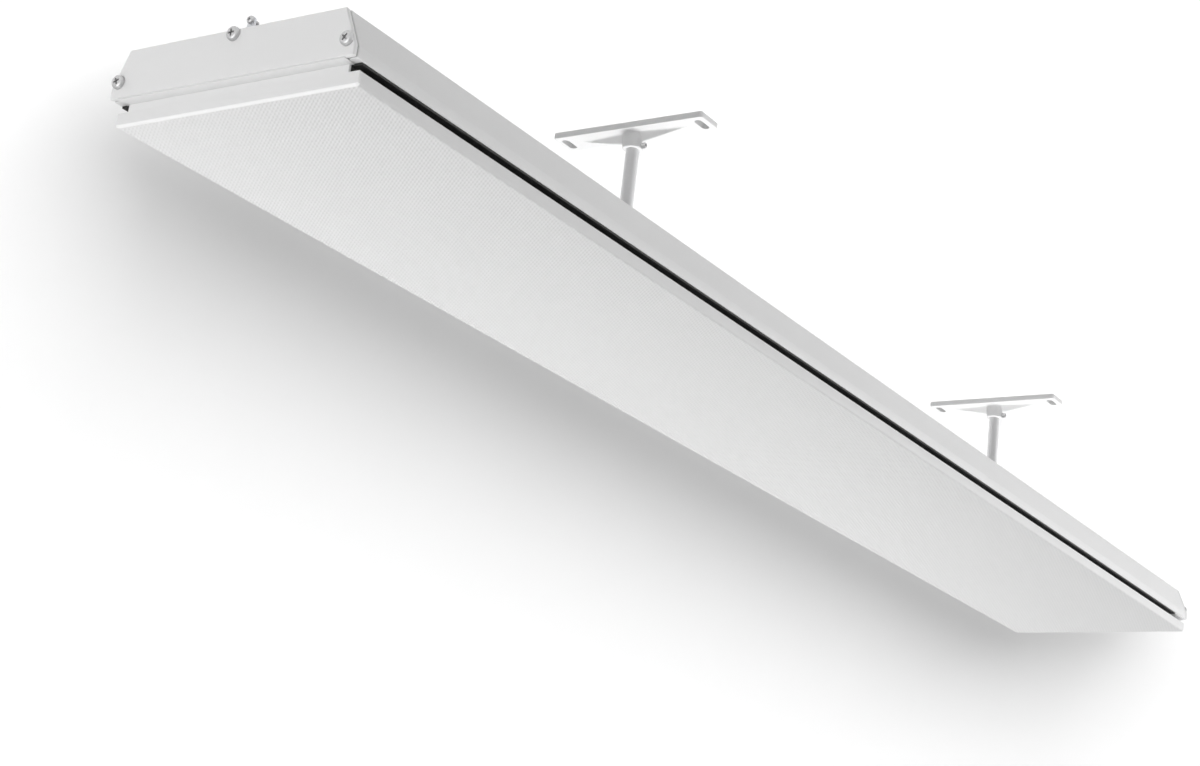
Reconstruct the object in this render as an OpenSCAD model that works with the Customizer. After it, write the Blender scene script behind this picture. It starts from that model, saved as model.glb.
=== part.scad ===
// Slim electric radiant strip heater for a patio, hung level under a ceiling on two poles.
// X runs along the heater, Y across it and Z up. The origin lies on the ceiling plane,
// midway between the two poles, so the whole heater hangs below Z = 0.

/* [Radiating panel] */
// Length of the radiating panel
panel_len = 1238; // [1000:1:1700]
// Step of the panel's sides inside the housing's lips
panel_step = 0.5; // [0.2:0.1:4]
// Height of the panel's side walls
panel_h = 8; // [7:0.1:12]
// Thickness of the panel's radiating skin
panel_skin = 3; // [2:0.1:3.4]
// Thickness of the panel's side walls
panel_wall = 2.5; // [1.5:0.1:4]
// Radius along the panel's lower long edges
panel_edge_r = 1.5; // [0.5:0.1:2]
// Width of the ribs that take the rail screws
rib_w = 8; // [6:0.1:10]
// Thickness of the panel's end plates
end_plate_t = 1.5; // [1:0.1:2.5]

/* [Housing] */
// Width of the housing across its lips
housing_w = 166; // [162:0.5:180]
// Run of each sloping side across the heater
slope_run = 9; // [5:0.1:14]
// Wall of the housing extrusion
housing_wall = 1.8; // [1.2:0.1:2.2]
// Height of the shadow slot between panel and housing
slot_gap = 5; // [4.2:0.1:7]
// Height of the upright lip under the slopes
lip_h = 6.5; // [5.5:0.1:9]
// Height of the sloping sides
slope_h = 21.3; // [20:0.1:30]
// Width of the inward return under each lip
return_w = 7; // [4:0.1:7.2]
// Length of housing beyond the panel at each end
housing_overhang = 3.5; // [2:0.1:8]
// Outer diameter of the screw ports in the extrusion
port_d = 6; // [5:0.1:7]

/* [End caps] */
// Thickness of the end caps
cap_t = 3; // [2:0.1:5]
// Thickness of the gasket behind each cap
gasket_t = 0.8; // [0.5:0.1:2]
// Step of the gasket's edge inside the cap's edge
gasket_inset = 0.6; // [0.2:0.1:1]
// Distance of the lower cap screws in from the lips
cap_screw_in = 5; // [4.6:0.1:7]
// Height of the lower cap screws above the shoulders
cap_screw_up = 2.8; // [2.4:0.1:5]
// Diameter of the cap screws
cap_screw_d = 3.2; // [2.5:0.1:3.6]
// Head diameter of the cap screws
cap_head_d = 8; // [6:0.1:9]
// Head height of the cap screws
cap_head_h = 2.6; // [2:0.1:3.5]
// Length of the cap screws under the head
cap_screw_len = 16; // [10:0.5:30]

/* [Spacer rails] */
// Wall of the black extruded spacer rails
rail_t = 1.2; // [0.8:0.1:1.6]
// Set-back of each rail's web from the panel's side
rail_setback = 7.3; // [6.5:0.1:9]
// Width of the rails' lower flanges
rail_foot_w = 13; // [12:0.1:15]
// Step of the rails' outer flanges inside the housing's lips
rail_lip_in = 1; // [0.4:0.1:4]
// Screws along each rail
rail_screw_count = 6; // [3:1:9]
// Diameter of the small screws inside
small_screw_d = 2.6; // [2:0.1:3]
// Head diameter of the small screws
small_head_d = 5.4; // [4.5:0.1:6]
// Head height of the small screws
small_head_h = 1.8; // [1.2:0.1:2.2]

/* [Heating elements] */
// Diameter of the sheathed elements
element_d = 8; // [6:0.1:8.6]
// Distance of each element in from the rail beside it
element_in = 39.2; // [34:0.1:45]
// Metal left under each element in its cradle
cradle_floor = 1; // [0.6:0.1:1.6]
// Cold length left free at each end of the panel
element_end_in = 40; // [36:0.5:60]
// Length of the ceramic end seals
seal_len = 6; // [4:0.5:9]
// Diameter of the terminal pins
pin_d = 2.4; // [1.6:0.1:3]
// Clamps along each element
clamp_count = 5; // [3:1:7]
// Strap thickness of the clamps
clamp_t = 1.2; // [0.8:0.1:1.6]
// Width of the clamps along the element
clamp_w = 10; // [8:0.5:14]
// Length of each clamp foot beside the element
clamp_foot = 9; // [8:0.5:10]

/* [Insulation and heat shield] */
// Thickness of the fibre blanket
blanket_t = 12; // [8:0.5:12.4]
// Distance of the blanket from the panel's ends
blanket_end_in = 50; // [44:0.5:80]
// Sheet thickness of the heat shield
shield_t = 0.8; // [0.6:0.1:1.2]
// Distance of the heat shield from the panel's ends
shield_end_in = 30; // [27:0.5:40]
// Distance of the heat shield's sides in from the rails
shield_in = 3.2; // [2.6:0.1:5]
// Width of the heat shield's side feet
shield_foot_w = 8; // [5:0.1:8.4]

/* [Wiring] */
// Length of the terminal block
block_len = 40; // [30:0.5:60]
// Width of the terminal block
block_w = 36; // [34:0.5:40]
// Height of the terminal block
block_h = 9; // [7:0.1:10]
// Distance of the terminal block from the panel's near end
block_in = 90; // [86:0.5:110]
// Distance of the terminal block's middle from the centre line
block_side = 30; // [28:0.5:40]
// Spacing of the terminals
terminal_pitch = 12; // [10.5:0.1:12.4]
// Diameter of the insulated leads
lead_d = 3; // [2:0.1:3.6]
// Diameter of the thermal cut-out
cutout_d = 16; // [12:0.1:17]
// Height of the thermal cut-out
cutout_h = 7; // [5.5:0.1:8]
// Diameter of the earth stud
earth_stud_d = 4; // [3:0.1:5]

/* [Cable gland] */
// Distance of the cable gland from the panel's near end
gland_in = 170; // [160:0.5:230]
// Distance of the cable gland from the centre line
gland_side = 40; // [36:0.5:48]
// Thread diameter of the cable gland
gland_d = 16; // [14:0.1:20]
// Bore for the supply cable
cable_bore_d = 8.5; // [6:0.1:9]
// Width of the gland's hexagons across their flats
gland_flats = 20; // [19:0.1:24]

/* [Mounting track] */
// Width of the track on the housing
track_w = 30; // [26:0.5:40]
// Height of the track
track_h = 14; // [13:0.1:18]
// Wall of the track
track_wall = 2; // [1.5:0.1:2.4]
// Slot between the track's lips
track_slot = 12; // [10.5:0.1:14]
// Distance of the track from the panel's ends
track_end_in = 20; // [18:0.5:60]
// Screws that hold the track down
track_screw_count = 6; // [3:1:9]
// Height of the bonding screw above the housing
lug_h = 9.9; // [7:0.1:12]
// Width of the bonding lug
lug_w = 4.8; // [4.4:0.1:8]

/* [Hangers] */
// Distance of the near pole from the panel's near end
near_hanger_in = 366; // [330:1:420]
// Distance between the two poles
hanger_spacing = 603; // [440:1:640]
// Diameter of the poles
pole_d = 9; // [8.6:0.1:12]
// Thread diameter at the foot of each pole
spigot_d = 8; // [6:0.1:8.4]
// Height from the housing's top to the ceiling
hang_drop = 104.7; // [70:0.1:300]
// Thickness of the track nuts
track_nut_t = 5; // [4:0.1:5.5]
// Length of the track nuts along the track
track_nut_len = 24; // [18:0.5:40]
// Thickness of the saddle plates on the track
saddle_t = 3; // [2:0.1:5]
// Width of the lock nuts across their flats
lock_nut_flats = 13; // [12.5:0.1:16]
// Thickness of the lock nuts
lock_nut_t = 6.5; // [4:0.1:8]

/* [Ceiling brackets] */
// Length of each ceiling plate across the heater
plate_len = 115; // [112:0.5:140]
// Width of each ceiling plate
plate_w = 22; // [20.5:0.5:34]
// Thickness of each ceiling plate
plate_t = 4.4; // [3.5:0.1:7]
// Radius at the plate's corners
plate_corner_r = 2; // [1:0.1:6]
// Distance of each slot's middle in from the plate's end
slot_in = 6; // [5.2:0.1:9]
// Width of the screw slots
slot_w = 5.5; // [4.5:0.1:6]
// End to end length of the screw slots
slot_len = 14; // [10:0.5:16]
// Outer diameter of the collar that takes the pole
collar_d = 14; // [13.4:0.1:20]
// Depth of the collar under the plate
collar_h = 11; // [10.6:0.1:20]
// Depth of the gussets beside the collar
gusset_h = 7.5; // [5:0.1:7.6]
// Distance from each gusset's point to the slot's middle
gusset_clear = 9.5; // [8:0.1:20]
// Width of each gusset beside the collar
gusset_w = 10.6; // [8:0.1:20.4]
// Width of each gusset's lower ridge
gusset_ridge_w = 2.6; // [1.5:0.1:4]
// Diameter of the collar's clamp screw
clamp_screw_d = 3; // [2.5:0.1:3.2]
// Head diameter of the clamp screw
clamp_head_d = 3.8; // [3.4:0.1:3.9]
// Head length of the clamp screw
clamp_head_h = 3; // [2:0.1:5]

/* [Hidden] */
$fn = 48;

// Extra reach of every cut
over = 1;
// Gap between pieces that slide or lie loosely
loose = 0.2;
// Radial clearance of a screw in its hole
screw_clear = 0.1;
// Radial clearance of a pole in its collar
pole_clear = 0.05;
// Gap between faces that stay just apart
seat_gap = 0.3;

// Heights, from the ceiling down to the panel
z_top = -hang_drop;
z_shoulder = z_top - slope_h;
z_lip = z_shoulder - lip_h;
z_panel_top = z_lip - slot_gap;
z_panel = z_panel_top - panel_h;
z_skin = z_panel + panel_skin;
z_return = z_lip + housing_wall;
z_ceiling_in = z_top - housing_wall;

// Places along the heater
x_near = -(near_hanger_in + hanger_spacing / 2);
x_far = x_near + panel_len;
housing_len = panel_len + 2 * housing_overhang;
x_housing = x_near - housing_overhang;

// Places across the heater
panel_w = housing_w - 2 * panel_step;
slant = sqrt(slope_run * slope_run + slope_h * slope_h);
return_in_y = housing_w / 2 - return_w;
rail_y = panel_w / 2 - rail_setback;
element_y = rail_y - element_in;
shield_w = 2 * (rail_y - shield_in);
rib_y = rail_y - rail_foot_w / 2 - rail_t / 2;
port_y = housing_w / 2 - cap_screw_in;
port_z = z_shoulder + cap_screw_up;
port_mid_z = z_top - port_d / 2;
port_bore_r = cap_screw_d / 2 + screw_clear;

// Heights of the elements, the blanket and the shield
element_z = z_skin + cradle_floor + element_d / 2;
clamp_top_z = element_z + element_d / 2 + clamp_t;
blanket_z = clamp_top_z + seat_gap;
rail_top_z = z_return + rail_t;
shield_top_z = max(blanket_z + blanket_t, rail_top_z) + shield_t;
rail_foot_top_z = z_panel_top + rail_t;

// Places of the wiring, from the panel's near end
block_x = x_near + block_in;
block_y = -block_side;
lead_z = shield_top_z + block_h / 2;
lead_up_in = shield_end_in / 2 + lead_d;
pin_len = element_end_in - seal_len - lead_up_in;
cutout_back_share = 0.75;
cutout_x = block_x - block_len * cutout_back_share;
earth_back_share = 0.5;
earth_x = block_x - block_len * earth_back_share;
gland_x = x_near + gland_in;
lead_bore_depth = terminal_pitch / 4;

// Sizes of the hangers
track_z = z_top + track_h;
track_in_w = track_w - 2 * track_wall;
track_nut_z = track_z - track_wall - loose - track_nut_t;
saddle_z = track_z + loose;
lock_nut_z = saddle_z + saddle_t;
spigot_top_z = lock_nut_z + lock_nut_t;
plate_skin = plate_t / 2;
pole_top_z = -plate_skin - seat_gap;
collar_z = -plate_t - collar_h;
clamp_z = collar_z + clamp_head_d / 2 + loose;
clamp_tip_r = clamp_screw_d / 2 - loose;
slot_y = plate_len / 2 - slot_in;
gusset_len = slot_y - gusset_clear;
groove_share = 0.11;
groove_depth = pole_d * groove_share;

// Outline of the housing moved inwards by d
function housing_half(d) = [
    [housing_w / 2 - d, z_lip + d],
    [housing_w / 2 - d, z_shoulder + d * (slope_h - slant) / slope_run],
    [housing_w / 2 - slope_run * (slope_h - d) / slope_h - d * slant / slope_h, z_top - d]
];

// Half an outline joined to its mirror image
function both(half) = concat(half, [for (i = [len(half) - 1:-1:0]) [-half[i][0], half[i][1]]]);

// Points of a quarter arc from angle a0 to a1
function arc(cy, cz, r, a0, a1, n) = [
    for (i = [0:n]) [cy + r * cos(a0 + (a1 - a0) * i / n), cz + r * sin(a0 + (a1 - a0) * i / n)]
];

// A flat outline in Y and Z drawn out along X
module along_x(x, length) {
    translate([x, 0, 0]) rotate([90, 0, 90]) linear_extrude(height = length) children();
}

// A round bar along X, along Y or along Z
module bar_x(x, y, z, r, length) {
    translate([x, y, z]) rotate([0, 90, 0]) cylinder(r = r, h = length);
}

module bar_y(x, y, z, r, length) {
    translate([x, y, z]) rotate([-90, 0, 0]) cylinder(r = r, h = length);
}

module bar_z(x, y, z, r, height) {
    translate([x, y, z]) cylinder(r = r, h = height);
}

// A box from its low corner, and one with its middle at y = 0
module slab(x, y, z, length, width, height) {
    translate([x, y, z]) cube([length, width, height]);
}

module mid_slab(x, z, length, width, height) {
    slab(x, -width / 2, z, length, width, height);
}

// Children placed at the panel's near (-1) or far (1) end, with X pointing into the heater
module at_end(side) {
    translate([side < 0 ? x_near : x_far, 0, 0]) mirror([side < 0 ? 0 : 1, 0, 0]) children();
}

// Children placed at the near (-1) or far (1) pole
module at_pole(side) {
    translate([side * hanger_spacing / 2, 0, 0]) children();
}

// Places of the three cap screws in Y and Z
cap_screw_places = [[port_y, port_z], [-port_y, port_z], [0, port_mid_z]];

// Pan head screw: head above Z = 0, shank below, cross recess in the head
module pan_screw(head_d, head_h, shank_d, shank_len) {
    rim_share = 0.4;
    recess_w_share = 0.14;
    recess_l_share = 0.55;
    recess_w = head_d * recess_w_share;
    recess_l = head_d * recess_l_share;
    difference() {
        union() {
            rotate_extrude() polygon(concat(
                [[0, 0], [head_d / 2, 0], [head_d / 2, head_h * rim_share]],
                [for (a = [18:18:90]) [head_d / 2 * cos(a), head_h * (rim_share + (1 - rim_share) * sin(a))]]
            ));
            translate([0, 0, -shank_len]) cylinder(d = shank_d, h = shank_len);
        }
        for (turn = [0, 90]) {
            rotate([0, 0, turn])
                translate([-recess_l / 2, -recess_w / 2, head_h / 2])
                cube([recess_l, recess_w, head_h]);
        }
    }
}

// Housing

module housing() {
    color("whitesmoke")
    difference() {
        union() {
            difference() {
                along_x(x_housing, housing_len) polygon(both(housing_half(0)));
                along_x(x_housing - over, housing_len + 2 * over) polygon(both(housing_half(housing_wall)));
                mid_slab(
                    x_housing - over, z_lip - over,
                    housing_len + 2 * over, 2 * return_in_y, housing_wall + 2 * over
                );
            }
            for (p = cap_screw_places) {
                bar_x(x_housing, p[0], p[1], port_d / 2, housing_len);
            }
        }
        for (p = cap_screw_places) {
            bar_x(x_housing - over, p[0], p[1], port_bore_r, housing_len + 2 * over);
        }
        bar_z(gland_x, gland_side, z_ceiling_in - over, gland_d / 2 + screw_clear, housing_wall + 2 * over);
        for (i = [0:track_screw_count - 1]) {
            bar_z(
                track_screw_x(i), track_screw_y(i), z_ceiling_in - over,
                small_screw_d / 2 + screw_clear, housing_wall + 2 * over
            );
        }
        bar_z(lug_rivet_x, 0, z_top - housing_wall / 2, rivet_r + screw_clear, housing_wall);
    }
}

// End caps, their gaskets and their screws

module end_cap(side) {
    color("white")
    at_end(side) difference() {
        along_x(-(housing_overhang + gasket_t + cap_t), cap_t) polygon(both(housing_half(0)));
        for (p = cap_screw_places) {
            bar_x(
                -(housing_overhang + gasket_t + cap_t + over), p[0], p[1],
                port_bore_r, cap_t + 2 * over
            );
        }
    }
}

module near_end_cap() {
    end_cap(-1);
}

module far_end_cap() {
    end_cap(1);
}

module cap_gasket(side) {
    color("dimgray")
    at_end(side) difference() {
        along_x(-(housing_overhang + gasket_t), gasket_t) polygon(both(housing_half(gasket_inset)));
        for (p = cap_screw_places) {
            bar_x(-(housing_overhang + gasket_t + over), p[0], p[1], port_bore_r, gasket_t + 2 * over);
        }
    }
}

module near_cap_gasket() {
    cap_gasket(-1);
}

module far_cap_gasket() {
    cap_gasket(1);
}

module cap_screws(side) {
    color("silver")
    at_end(side)
    for (p = cap_screw_places) {
        translate([-(housing_overhang + gasket_t + cap_t), p[0], p[1]]) rotate([0, -90, 0])
            pan_screw(cap_head_d, cap_head_h, cap_screw_d, cap_screw_len);
    }
}

module near_cap_screws() {
    cap_screws(-1);
}

module far_cap_screws() {
    cap_screws(1);
}

// Radiating panel with its end plates

cradle_w = element_d + 2 * (clamp_foot + clamp_t);
rail_screw_depth = panel_h - panel_skin - rail_t / 2;

module radiating_panel() {
    color("gainsboro")
    difference() {
        union() {
            along_x(x_near + end_plate_t, panel_len - 2 * end_plate_t) polygon(both(concat(
                arc(panel_w / 2 - panel_edge_r, z_panel + panel_edge_r, panel_edge_r, -90, 0, 5),
                [
                    [panel_w / 2, z_panel_top],
                    [panel_w / 2 - panel_wall, z_panel_top],
                    [panel_w / 2 - panel_wall, z_skin],
                ]
            )));
            for (side = [-1, 1]) {
                slab(
                    x_near + end_plate_t, side * rib_y - rib_w / 2, z_skin - panel_skin / 2,
                    panel_len - 2 * end_plate_t, rib_w, panel_h - panel_skin / 2
                );
                slab(
                    x_near + shield_end_in, side * element_y - cradle_w / 2, z_skin - panel_skin / 2,
                    panel_len - 2 * shield_end_in, cradle_w, element_z - z_skin + panel_skin / 2
                );
            }
        }
        for (side = [-1, 1]) {
            bar_x(
                x_near + shield_end_in - over, side * element_y, element_z,
                element_d / 2 + screw_clear, panel_len - 2 * shield_end_in + 2 * over
            );
            for (i = [0:rail_screw_count - 1]) {
                bar_z(
                    rail_screw_x(i), side * rib_y, z_panel_top - rail_screw_depth,
                    small_screw_d / 2 + screw_clear, rail_screw_depth + over
                );
            }
            for (i = [0:clamp_count - 1]) {
                for (foot = [-1, 1]) {
                    bar_z(
                        clamp_x(i), side * element_y + foot * clamp_screw_y,
                        element_z - clamp_screw_depth,
                        small_screw_d / 2 + screw_clear, clamp_screw_depth + over
                    );
                }
            }
        }
    }
}

// Flat T plate that closes the end of the panel, the neck above it and the space under the shield
module panel_end_plate(side) {
    plate_in_y = shield_w / 2 - shield_t - loose;
    notch_y = rail_y - rail_foot_w / 2;
    tab_y = rail_y - rail_t - end_plate_t;
    color("gainsboro")
    at_end(side) {
        difference() {
            along_x(0, end_plate_t) polygon(both(concat(
                arc(panel_w / 2 - panel_edge_r, z_panel + panel_edge_r, panel_edge_r, -90, 0, 5),
                [
                    [panel_w / 2, z_panel_top],
                    [rail_y, z_panel_top],
                    [rail_y, z_lip + housing_wall / 2],
                    [plate_in_y, z_lip + housing_wall / 2],
                    [plate_in_y, shield_top_z - shield_t - loose],
                ]
            )));
            for (across = [-1, 1]) {
                slab(
                    -over, across * notch_y - end_plate_t / 2, z_lip - end_plate_t,
                    end_plate_t + 2 * over, end_plate_t, end_plate_t
                );
            }
        }
        for (across = [-1, 1]) {
            slab(
                end_plate_t / 2, across > 0 ? tab_y : -tab_y - end_plate_t, rail_foot_top_z,
                rail_foot_w, end_plate_t, z_lip - rail_foot_top_z
            );
        }
    }
}

module near_panel_end_plate() {
    panel_end_plate(-1);
}

module far_panel_end_plate() {
    panel_end_plate(1);
}

// Black spacer rails between panel and housing, with their screws

rail_flange_w = min(return_w, housing_w / 2 - housing_wall - rail_y - loose);
rail_screw_in = 60;

function rail_screw_x(i) =
    x_near + rail_screw_in + (panel_len - 2 * rail_screw_in) * i / (rail_screw_count - 1);

module spacer_rail(across) {
    color("black")
    difference() {
        along_x(x_near + end_plate_t, panel_len - 2 * end_plate_t) scale([across, 1]) polygon([
            [rail_y - rail_foot_w - rail_t, z_panel_top],
            [rail_y, z_panel_top],
            [rail_y, z_lip - rail_t],
            [housing_w / 2 - rail_lip_in, z_lip - rail_t],
            [housing_w / 2 - rail_lip_in, z_lip],
            [rail_y, z_lip],
            [rail_y, z_return],
            [rail_y + rail_flange_w, z_return],
            [rail_y + rail_flange_w, rail_top_z],
            [rail_y - rail_t, rail_top_z],
            [rail_y - rail_t, rail_foot_top_z],
            [rail_y - rail_foot_w - rail_t, rail_foot_top_z],
        ]);
        for (i = [0:rail_screw_count - 1]) {
            bar_z(
                rail_screw_x(i), across * rib_y, z_panel_top - over,
                small_screw_d / 2 + screw_clear, rail_t + 2 * over
            );
        }
    }
}

module left_spacer_rail() {
    spacer_rail(1);
}

module right_spacer_rail() {
    spacer_rail(-1);
}

module rail_screws() {
    color("silver")
    for (across = [-1, 1]) {
        for (i = [0:rail_screw_count - 1]) {
            translate([rail_screw_x(i), across * rib_y, rail_foot_top_z])
                pan_screw(small_head_d, small_head_h, small_screw_d, rail_t + rail_screw_depth - loose);
        }
    }
}

// Heating elements with their seals, clamps and clamp screws

clamp_screw_y = element_d / 2 + clamp_t + clamp_foot / 2;
clamp_depth_share = 0.8;
clamp_screw_depth = (element_z - z_skin) * clamp_depth_share;

function clamp_x(i) =
    x_near + 2 * element_end_in + (panel_len - 4 * element_end_in) * i / (clamp_count - 1);

module element(across) {
    color("gray")
    union() {
        bar_x(
            x_near + element_end_in, across * element_y, element_z,
            element_d / 2, panel_len - 2 * element_end_in
        );
        bar_x(
            x_near + element_end_in - seal_len - pin_len, across * element_y, element_z,
            pin_d / 2, panel_len - 2 * (element_end_in - seal_len - pin_len)
        );
    }
}

module left_element() {
    element(1);
}

module right_element() {
    element(-1);
}

module element_seals() {
    color("ivory")
    for (side = [-1, 1]) {
        for (across = [-1, 1]) {
            at_end(side) difference() {
                bar_x(
                    element_end_in - seal_len, across * element_y, element_z,
                    element_d / 2 - loose, seal_len
                );
                bar_x(
                    element_end_in - seal_len - over, across * element_y, element_z,
                    pin_d / 2 + pole_clear, seal_len + 2 * over
                );
            }
        }
    }
}

module element_clamp() {
    foot_reach = element_d / 2 + clamp_t + clamp_foot;
    difference() {
        union() {
            bar_x(-clamp_w / 2, 0, 0, element_d / 2 + clamp_t, clamp_w);
            mid_slab(-clamp_w / 2, 0, clamp_w, 2 * foot_reach, clamp_t);
        }
        bar_x(-clamp_w / 2 - over, 0, 0, element_d / 2 + pole_clear, clamp_w + 2 * over);
        mid_slab(
            -clamp_w / 2 - over, -element_d, clamp_w + 2 * over,
            2 * foot_reach + over, element_d
        );
        for (foot = [-1, 1]) {
            bar_z(0, foot * clamp_screw_y, -over, small_screw_d / 2 + screw_clear, clamp_t + 2 * over);
        }
    }
}

module element_clamps() {
    color("lightgray")
    for (across = [-1, 1]) {
        for (i = [0:clamp_count - 1]) {
            translate([clamp_x(i), across * element_y, element_z]) element_clamp();
        }
    }
}

module element_clamp_screws() {
    color("silver")
    for (across = [-1, 1]) {
        for (i = [0:clamp_count - 1]) {
            for (foot = [-1, 1]) {
                translate([clamp_x(i), across * element_y + foot * clamp_screw_y, element_z + clamp_t])
                    pan_screw(small_head_d, small_head_h, small_screw_d, clamp_t + clamp_screw_depth - loose);
            }
        }
    }
}

// Fibre blanket and the heat shield that holds it down

module insulation_blanket() {
    color("beige")
    mid_slab(
        x_near + blanket_end_in, blanket_z,
        panel_len - 2 * blanket_end_in, shield_w - 2 * shield_t - 2 * loose, blanket_t
    );
}

module heat_shield() {
    length = panel_len - 2 * shield_end_in;
    color("lightsteelblue")
    difference() {
        along_x(x_near + shield_end_in, length) polygon(both([
            [shield_w / 2 - shield_t, rail_top_z],
            [shield_w / 2 + shield_foot_w, rail_top_z],
            [shield_w / 2 + shield_foot_w, rail_top_z + shield_t],
            [shield_w / 2, rail_top_z + shield_t],
            [shield_w / 2, shield_top_z],
        ]));
        mid_slab(
            x_near + shield_end_in - over, rail_top_z - over,
            length + 2 * over, shield_w - 2 * shield_t, shield_top_z - shield_t - rail_top_z + over
        );
    }
}

// Terminal block, cut-out, earth stud and the leads

terminal_row_shares = [0.25, 0.75];

module terminal_block() {
    color("ivory")
    difference() {
        slab(block_x, block_y - block_w / 2, shield_top_z, block_len, block_w, block_h);
        for (i = [-1:1]) {
            bar_x(
                block_x - over, block_y + i * terminal_pitch, lead_z,
                lead_d / 2 + screw_clear, block_len + 2 * over
            );
            for (row = terminal_row_shares) {
                bar_z(
                    block_x + block_len * row, block_y + i * terminal_pitch, lead_z,
                    small_screw_d / 2 + screw_clear, block_h
                );
            }
        }
    }
}

module terminal_screws() {
    color("goldenrod")
    for (i = [-1:1]) {
        for (row = terminal_row_shares) {
            bar_z(
                block_x + block_len * row, block_y + i * terminal_pitch, lead_z + lead_d / 2 + screw_clear,
                small_screw_d / 2, block_h / 2 - lead_d / 2 - screw_clear
            );
        }
    }
}

cutout_y = block_y - terminal_pitch;
cutout_base_share = 0.4;
cutout_neck_share = 0.32;

module thermal_cutout() {
    color("dimgray")
    union() {
        bar_z(cutout_x, cutout_y, shield_top_z, cutout_d / 2, cutout_h * cutout_base_share);
        bar_z(cutout_x, cutout_y, shield_top_z, cutout_d * cutout_neck_share, cutout_h);
    }
}

earth_stud_share = 0.9;
earth_nut_share = 0.25;
earth_ring_share = 1.1;

module earth_stud() {
    color("silver")
    bar_z(earth_x, block_y, shield_top_z, earth_stud_d / 2, block_h * earth_stud_share);
}

module earth_nut() {
    color("silver")
    difference() {
        translate([earth_x, block_y, shield_top_z + lead_d])
            cylinder(d = earth_stud_d * 2, h = block_h * earth_nut_share, $fn = 6);
        bar_z(earth_x, block_y, shield_top_z, earth_stud_d / 2 + pole_clear, block_h);
    }
}

// A lead of round wire through a list of corners, each run along one axis
module lead(points) {
    for (i = [0:len(points) - 2]) {
        a = points[i];
        b = points[i + 1];
        if (a[0] != b[0]) {
            bar_x(min(a[0], b[0]), a[1], a[2], lead_d / 2, abs(a[0] - b[0]));
        }
        if (a[1] != b[1]) {
            bar_y(a[0], min(a[1], b[1]), a[2], lead_d / 2, abs(a[1] - b[1]));
        }
        if (a[2] != b[2]) {
            bar_z(a[0], a[1], min(a[2], b[2]), lead_d / 2, abs(a[2] - b[2]));
        }
    }
    for (i = [1:1:len(points) - 2]) {
        translate(points[i]) sphere(d = lead_d);
    }
}

lead_up_x = x_near + lead_up_in - lead_d;
pin_tip_x = x_near + lead_up_in;

module live_lead() {
    color("brown")
    lead([
        [pin_tip_x, element_y, element_z],
        [lead_up_x, element_y, element_z],
        [lead_up_x, element_y, lead_z],
        [lead_up_x, block_y + terminal_pitch, lead_z],
        [block_x + lead_bore_depth, block_y + terminal_pitch, lead_z],
    ]);
}

module neutral_lead() {
    color("royalblue") {
        lead([
            [pin_tip_x, -element_y, element_z],
            [lead_up_x, -element_y, element_z],
            [lead_up_x, -element_y, lead_z],
            [lead_up_x, cutout_y, lead_z],
            [cutout_x - cutout_d * cutout_neck_share, cutout_y, lead_z],
        ]);
        lead([
            [cutout_x + cutout_d * cutout_neck_share, cutout_y, lead_z],
            [block_x + lead_bore_depth, cutout_y, lead_z],
        ]);
    }
}

module bridge_lead() {
    bridge_x = x_far - lead_up_in + lead_d;
    color("white")
    lead([
        [x_far - lead_up_in, element_y, element_z],
        [bridge_x, element_y, element_z],
        [bridge_x, -element_y, element_z],
        [x_far - lead_up_in, -element_y, element_z],
    ]);
}

module earth_lead() {
    ring_z = shield_top_z + lead_d / 2;
    color("yellowgreen")
    difference() {
        union() {
            lead([
                [earth_x + earth_stud_d, block_y, ring_z],
                [block_x - lead_d, block_y, ring_z],
                [block_x - lead_d, block_y, lead_z],
                [block_x + lead_bore_depth, block_y, lead_z],
            ]);
            bar_z(earth_x, block_y, ring_z, earth_stud_d * earth_ring_share, lead_d / 2);
        }
        bar_z(earth_x, block_y, shield_top_z - over, earth_stud_d / 2 + screw_clear, block_h + over);
    }
}

// Cable gland on the housing's top

gland_flange_share = 0.25;
gland_nut_share = 0.6;
gland_thread_share = 0.45;
gland_seal_share = 0.78;
gland_grip_share = 0.8;
gland_hex_share = 0.6;
gland_dome_share = 0.36;
gland_cap_share = 0.125;
gland_flange_t = gland_d * gland_flange_share;
gland_nut_t = gland_d * gland_nut_share;
gland_thread_len = gland_d * gland_thread_share;
gland_top_z = z_top + gland_flange_t;
gland_seal_d = gland_d * gland_seal_share;
gland_grip_t = gland_nut_t * gland_grip_share;
gland_hex_t = gland_nut_t * gland_hex_share;
gland_lock_t = gland_thread_len * gland_hex_share;

module at_gland(z) {
    translate([gland_x, gland_side, z]) children();
}

module gland_body() {
    color("dimgray")
    difference() {
        union() {
            at_gland(z_ceiling_in - gland_thread_len)
                cylinder(d = gland_d, h = housing_wall + gland_thread_len + over);
            at_gland(z_top) cylinder(d = gland_flats / cos(30), h = gland_flange_t, $fn = 6);
            at_gland(z_top) cylinder(d = gland_d, h = gland_flange_t + gland_grip_t);
        }
        at_gland(z_ceiling_in - gland_thread_len - over)
            cylinder(d = cable_bore_d + 4 * loose, h = 2 * gland_d);
        at_gland(gland_top_z + over) cylinder(d = gland_seal_d, h = gland_nut_t);
    }
}

module gland_seal() {
    color("black")
    difference() {
        at_gland(gland_top_z + over) cylinder(d = gland_seal_d - loose, h = gland_grip_t - over);
        at_gland(gland_top_z) cylinder(d = cable_bore_d, h = gland_nut_t * 2);
    }
}

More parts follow.
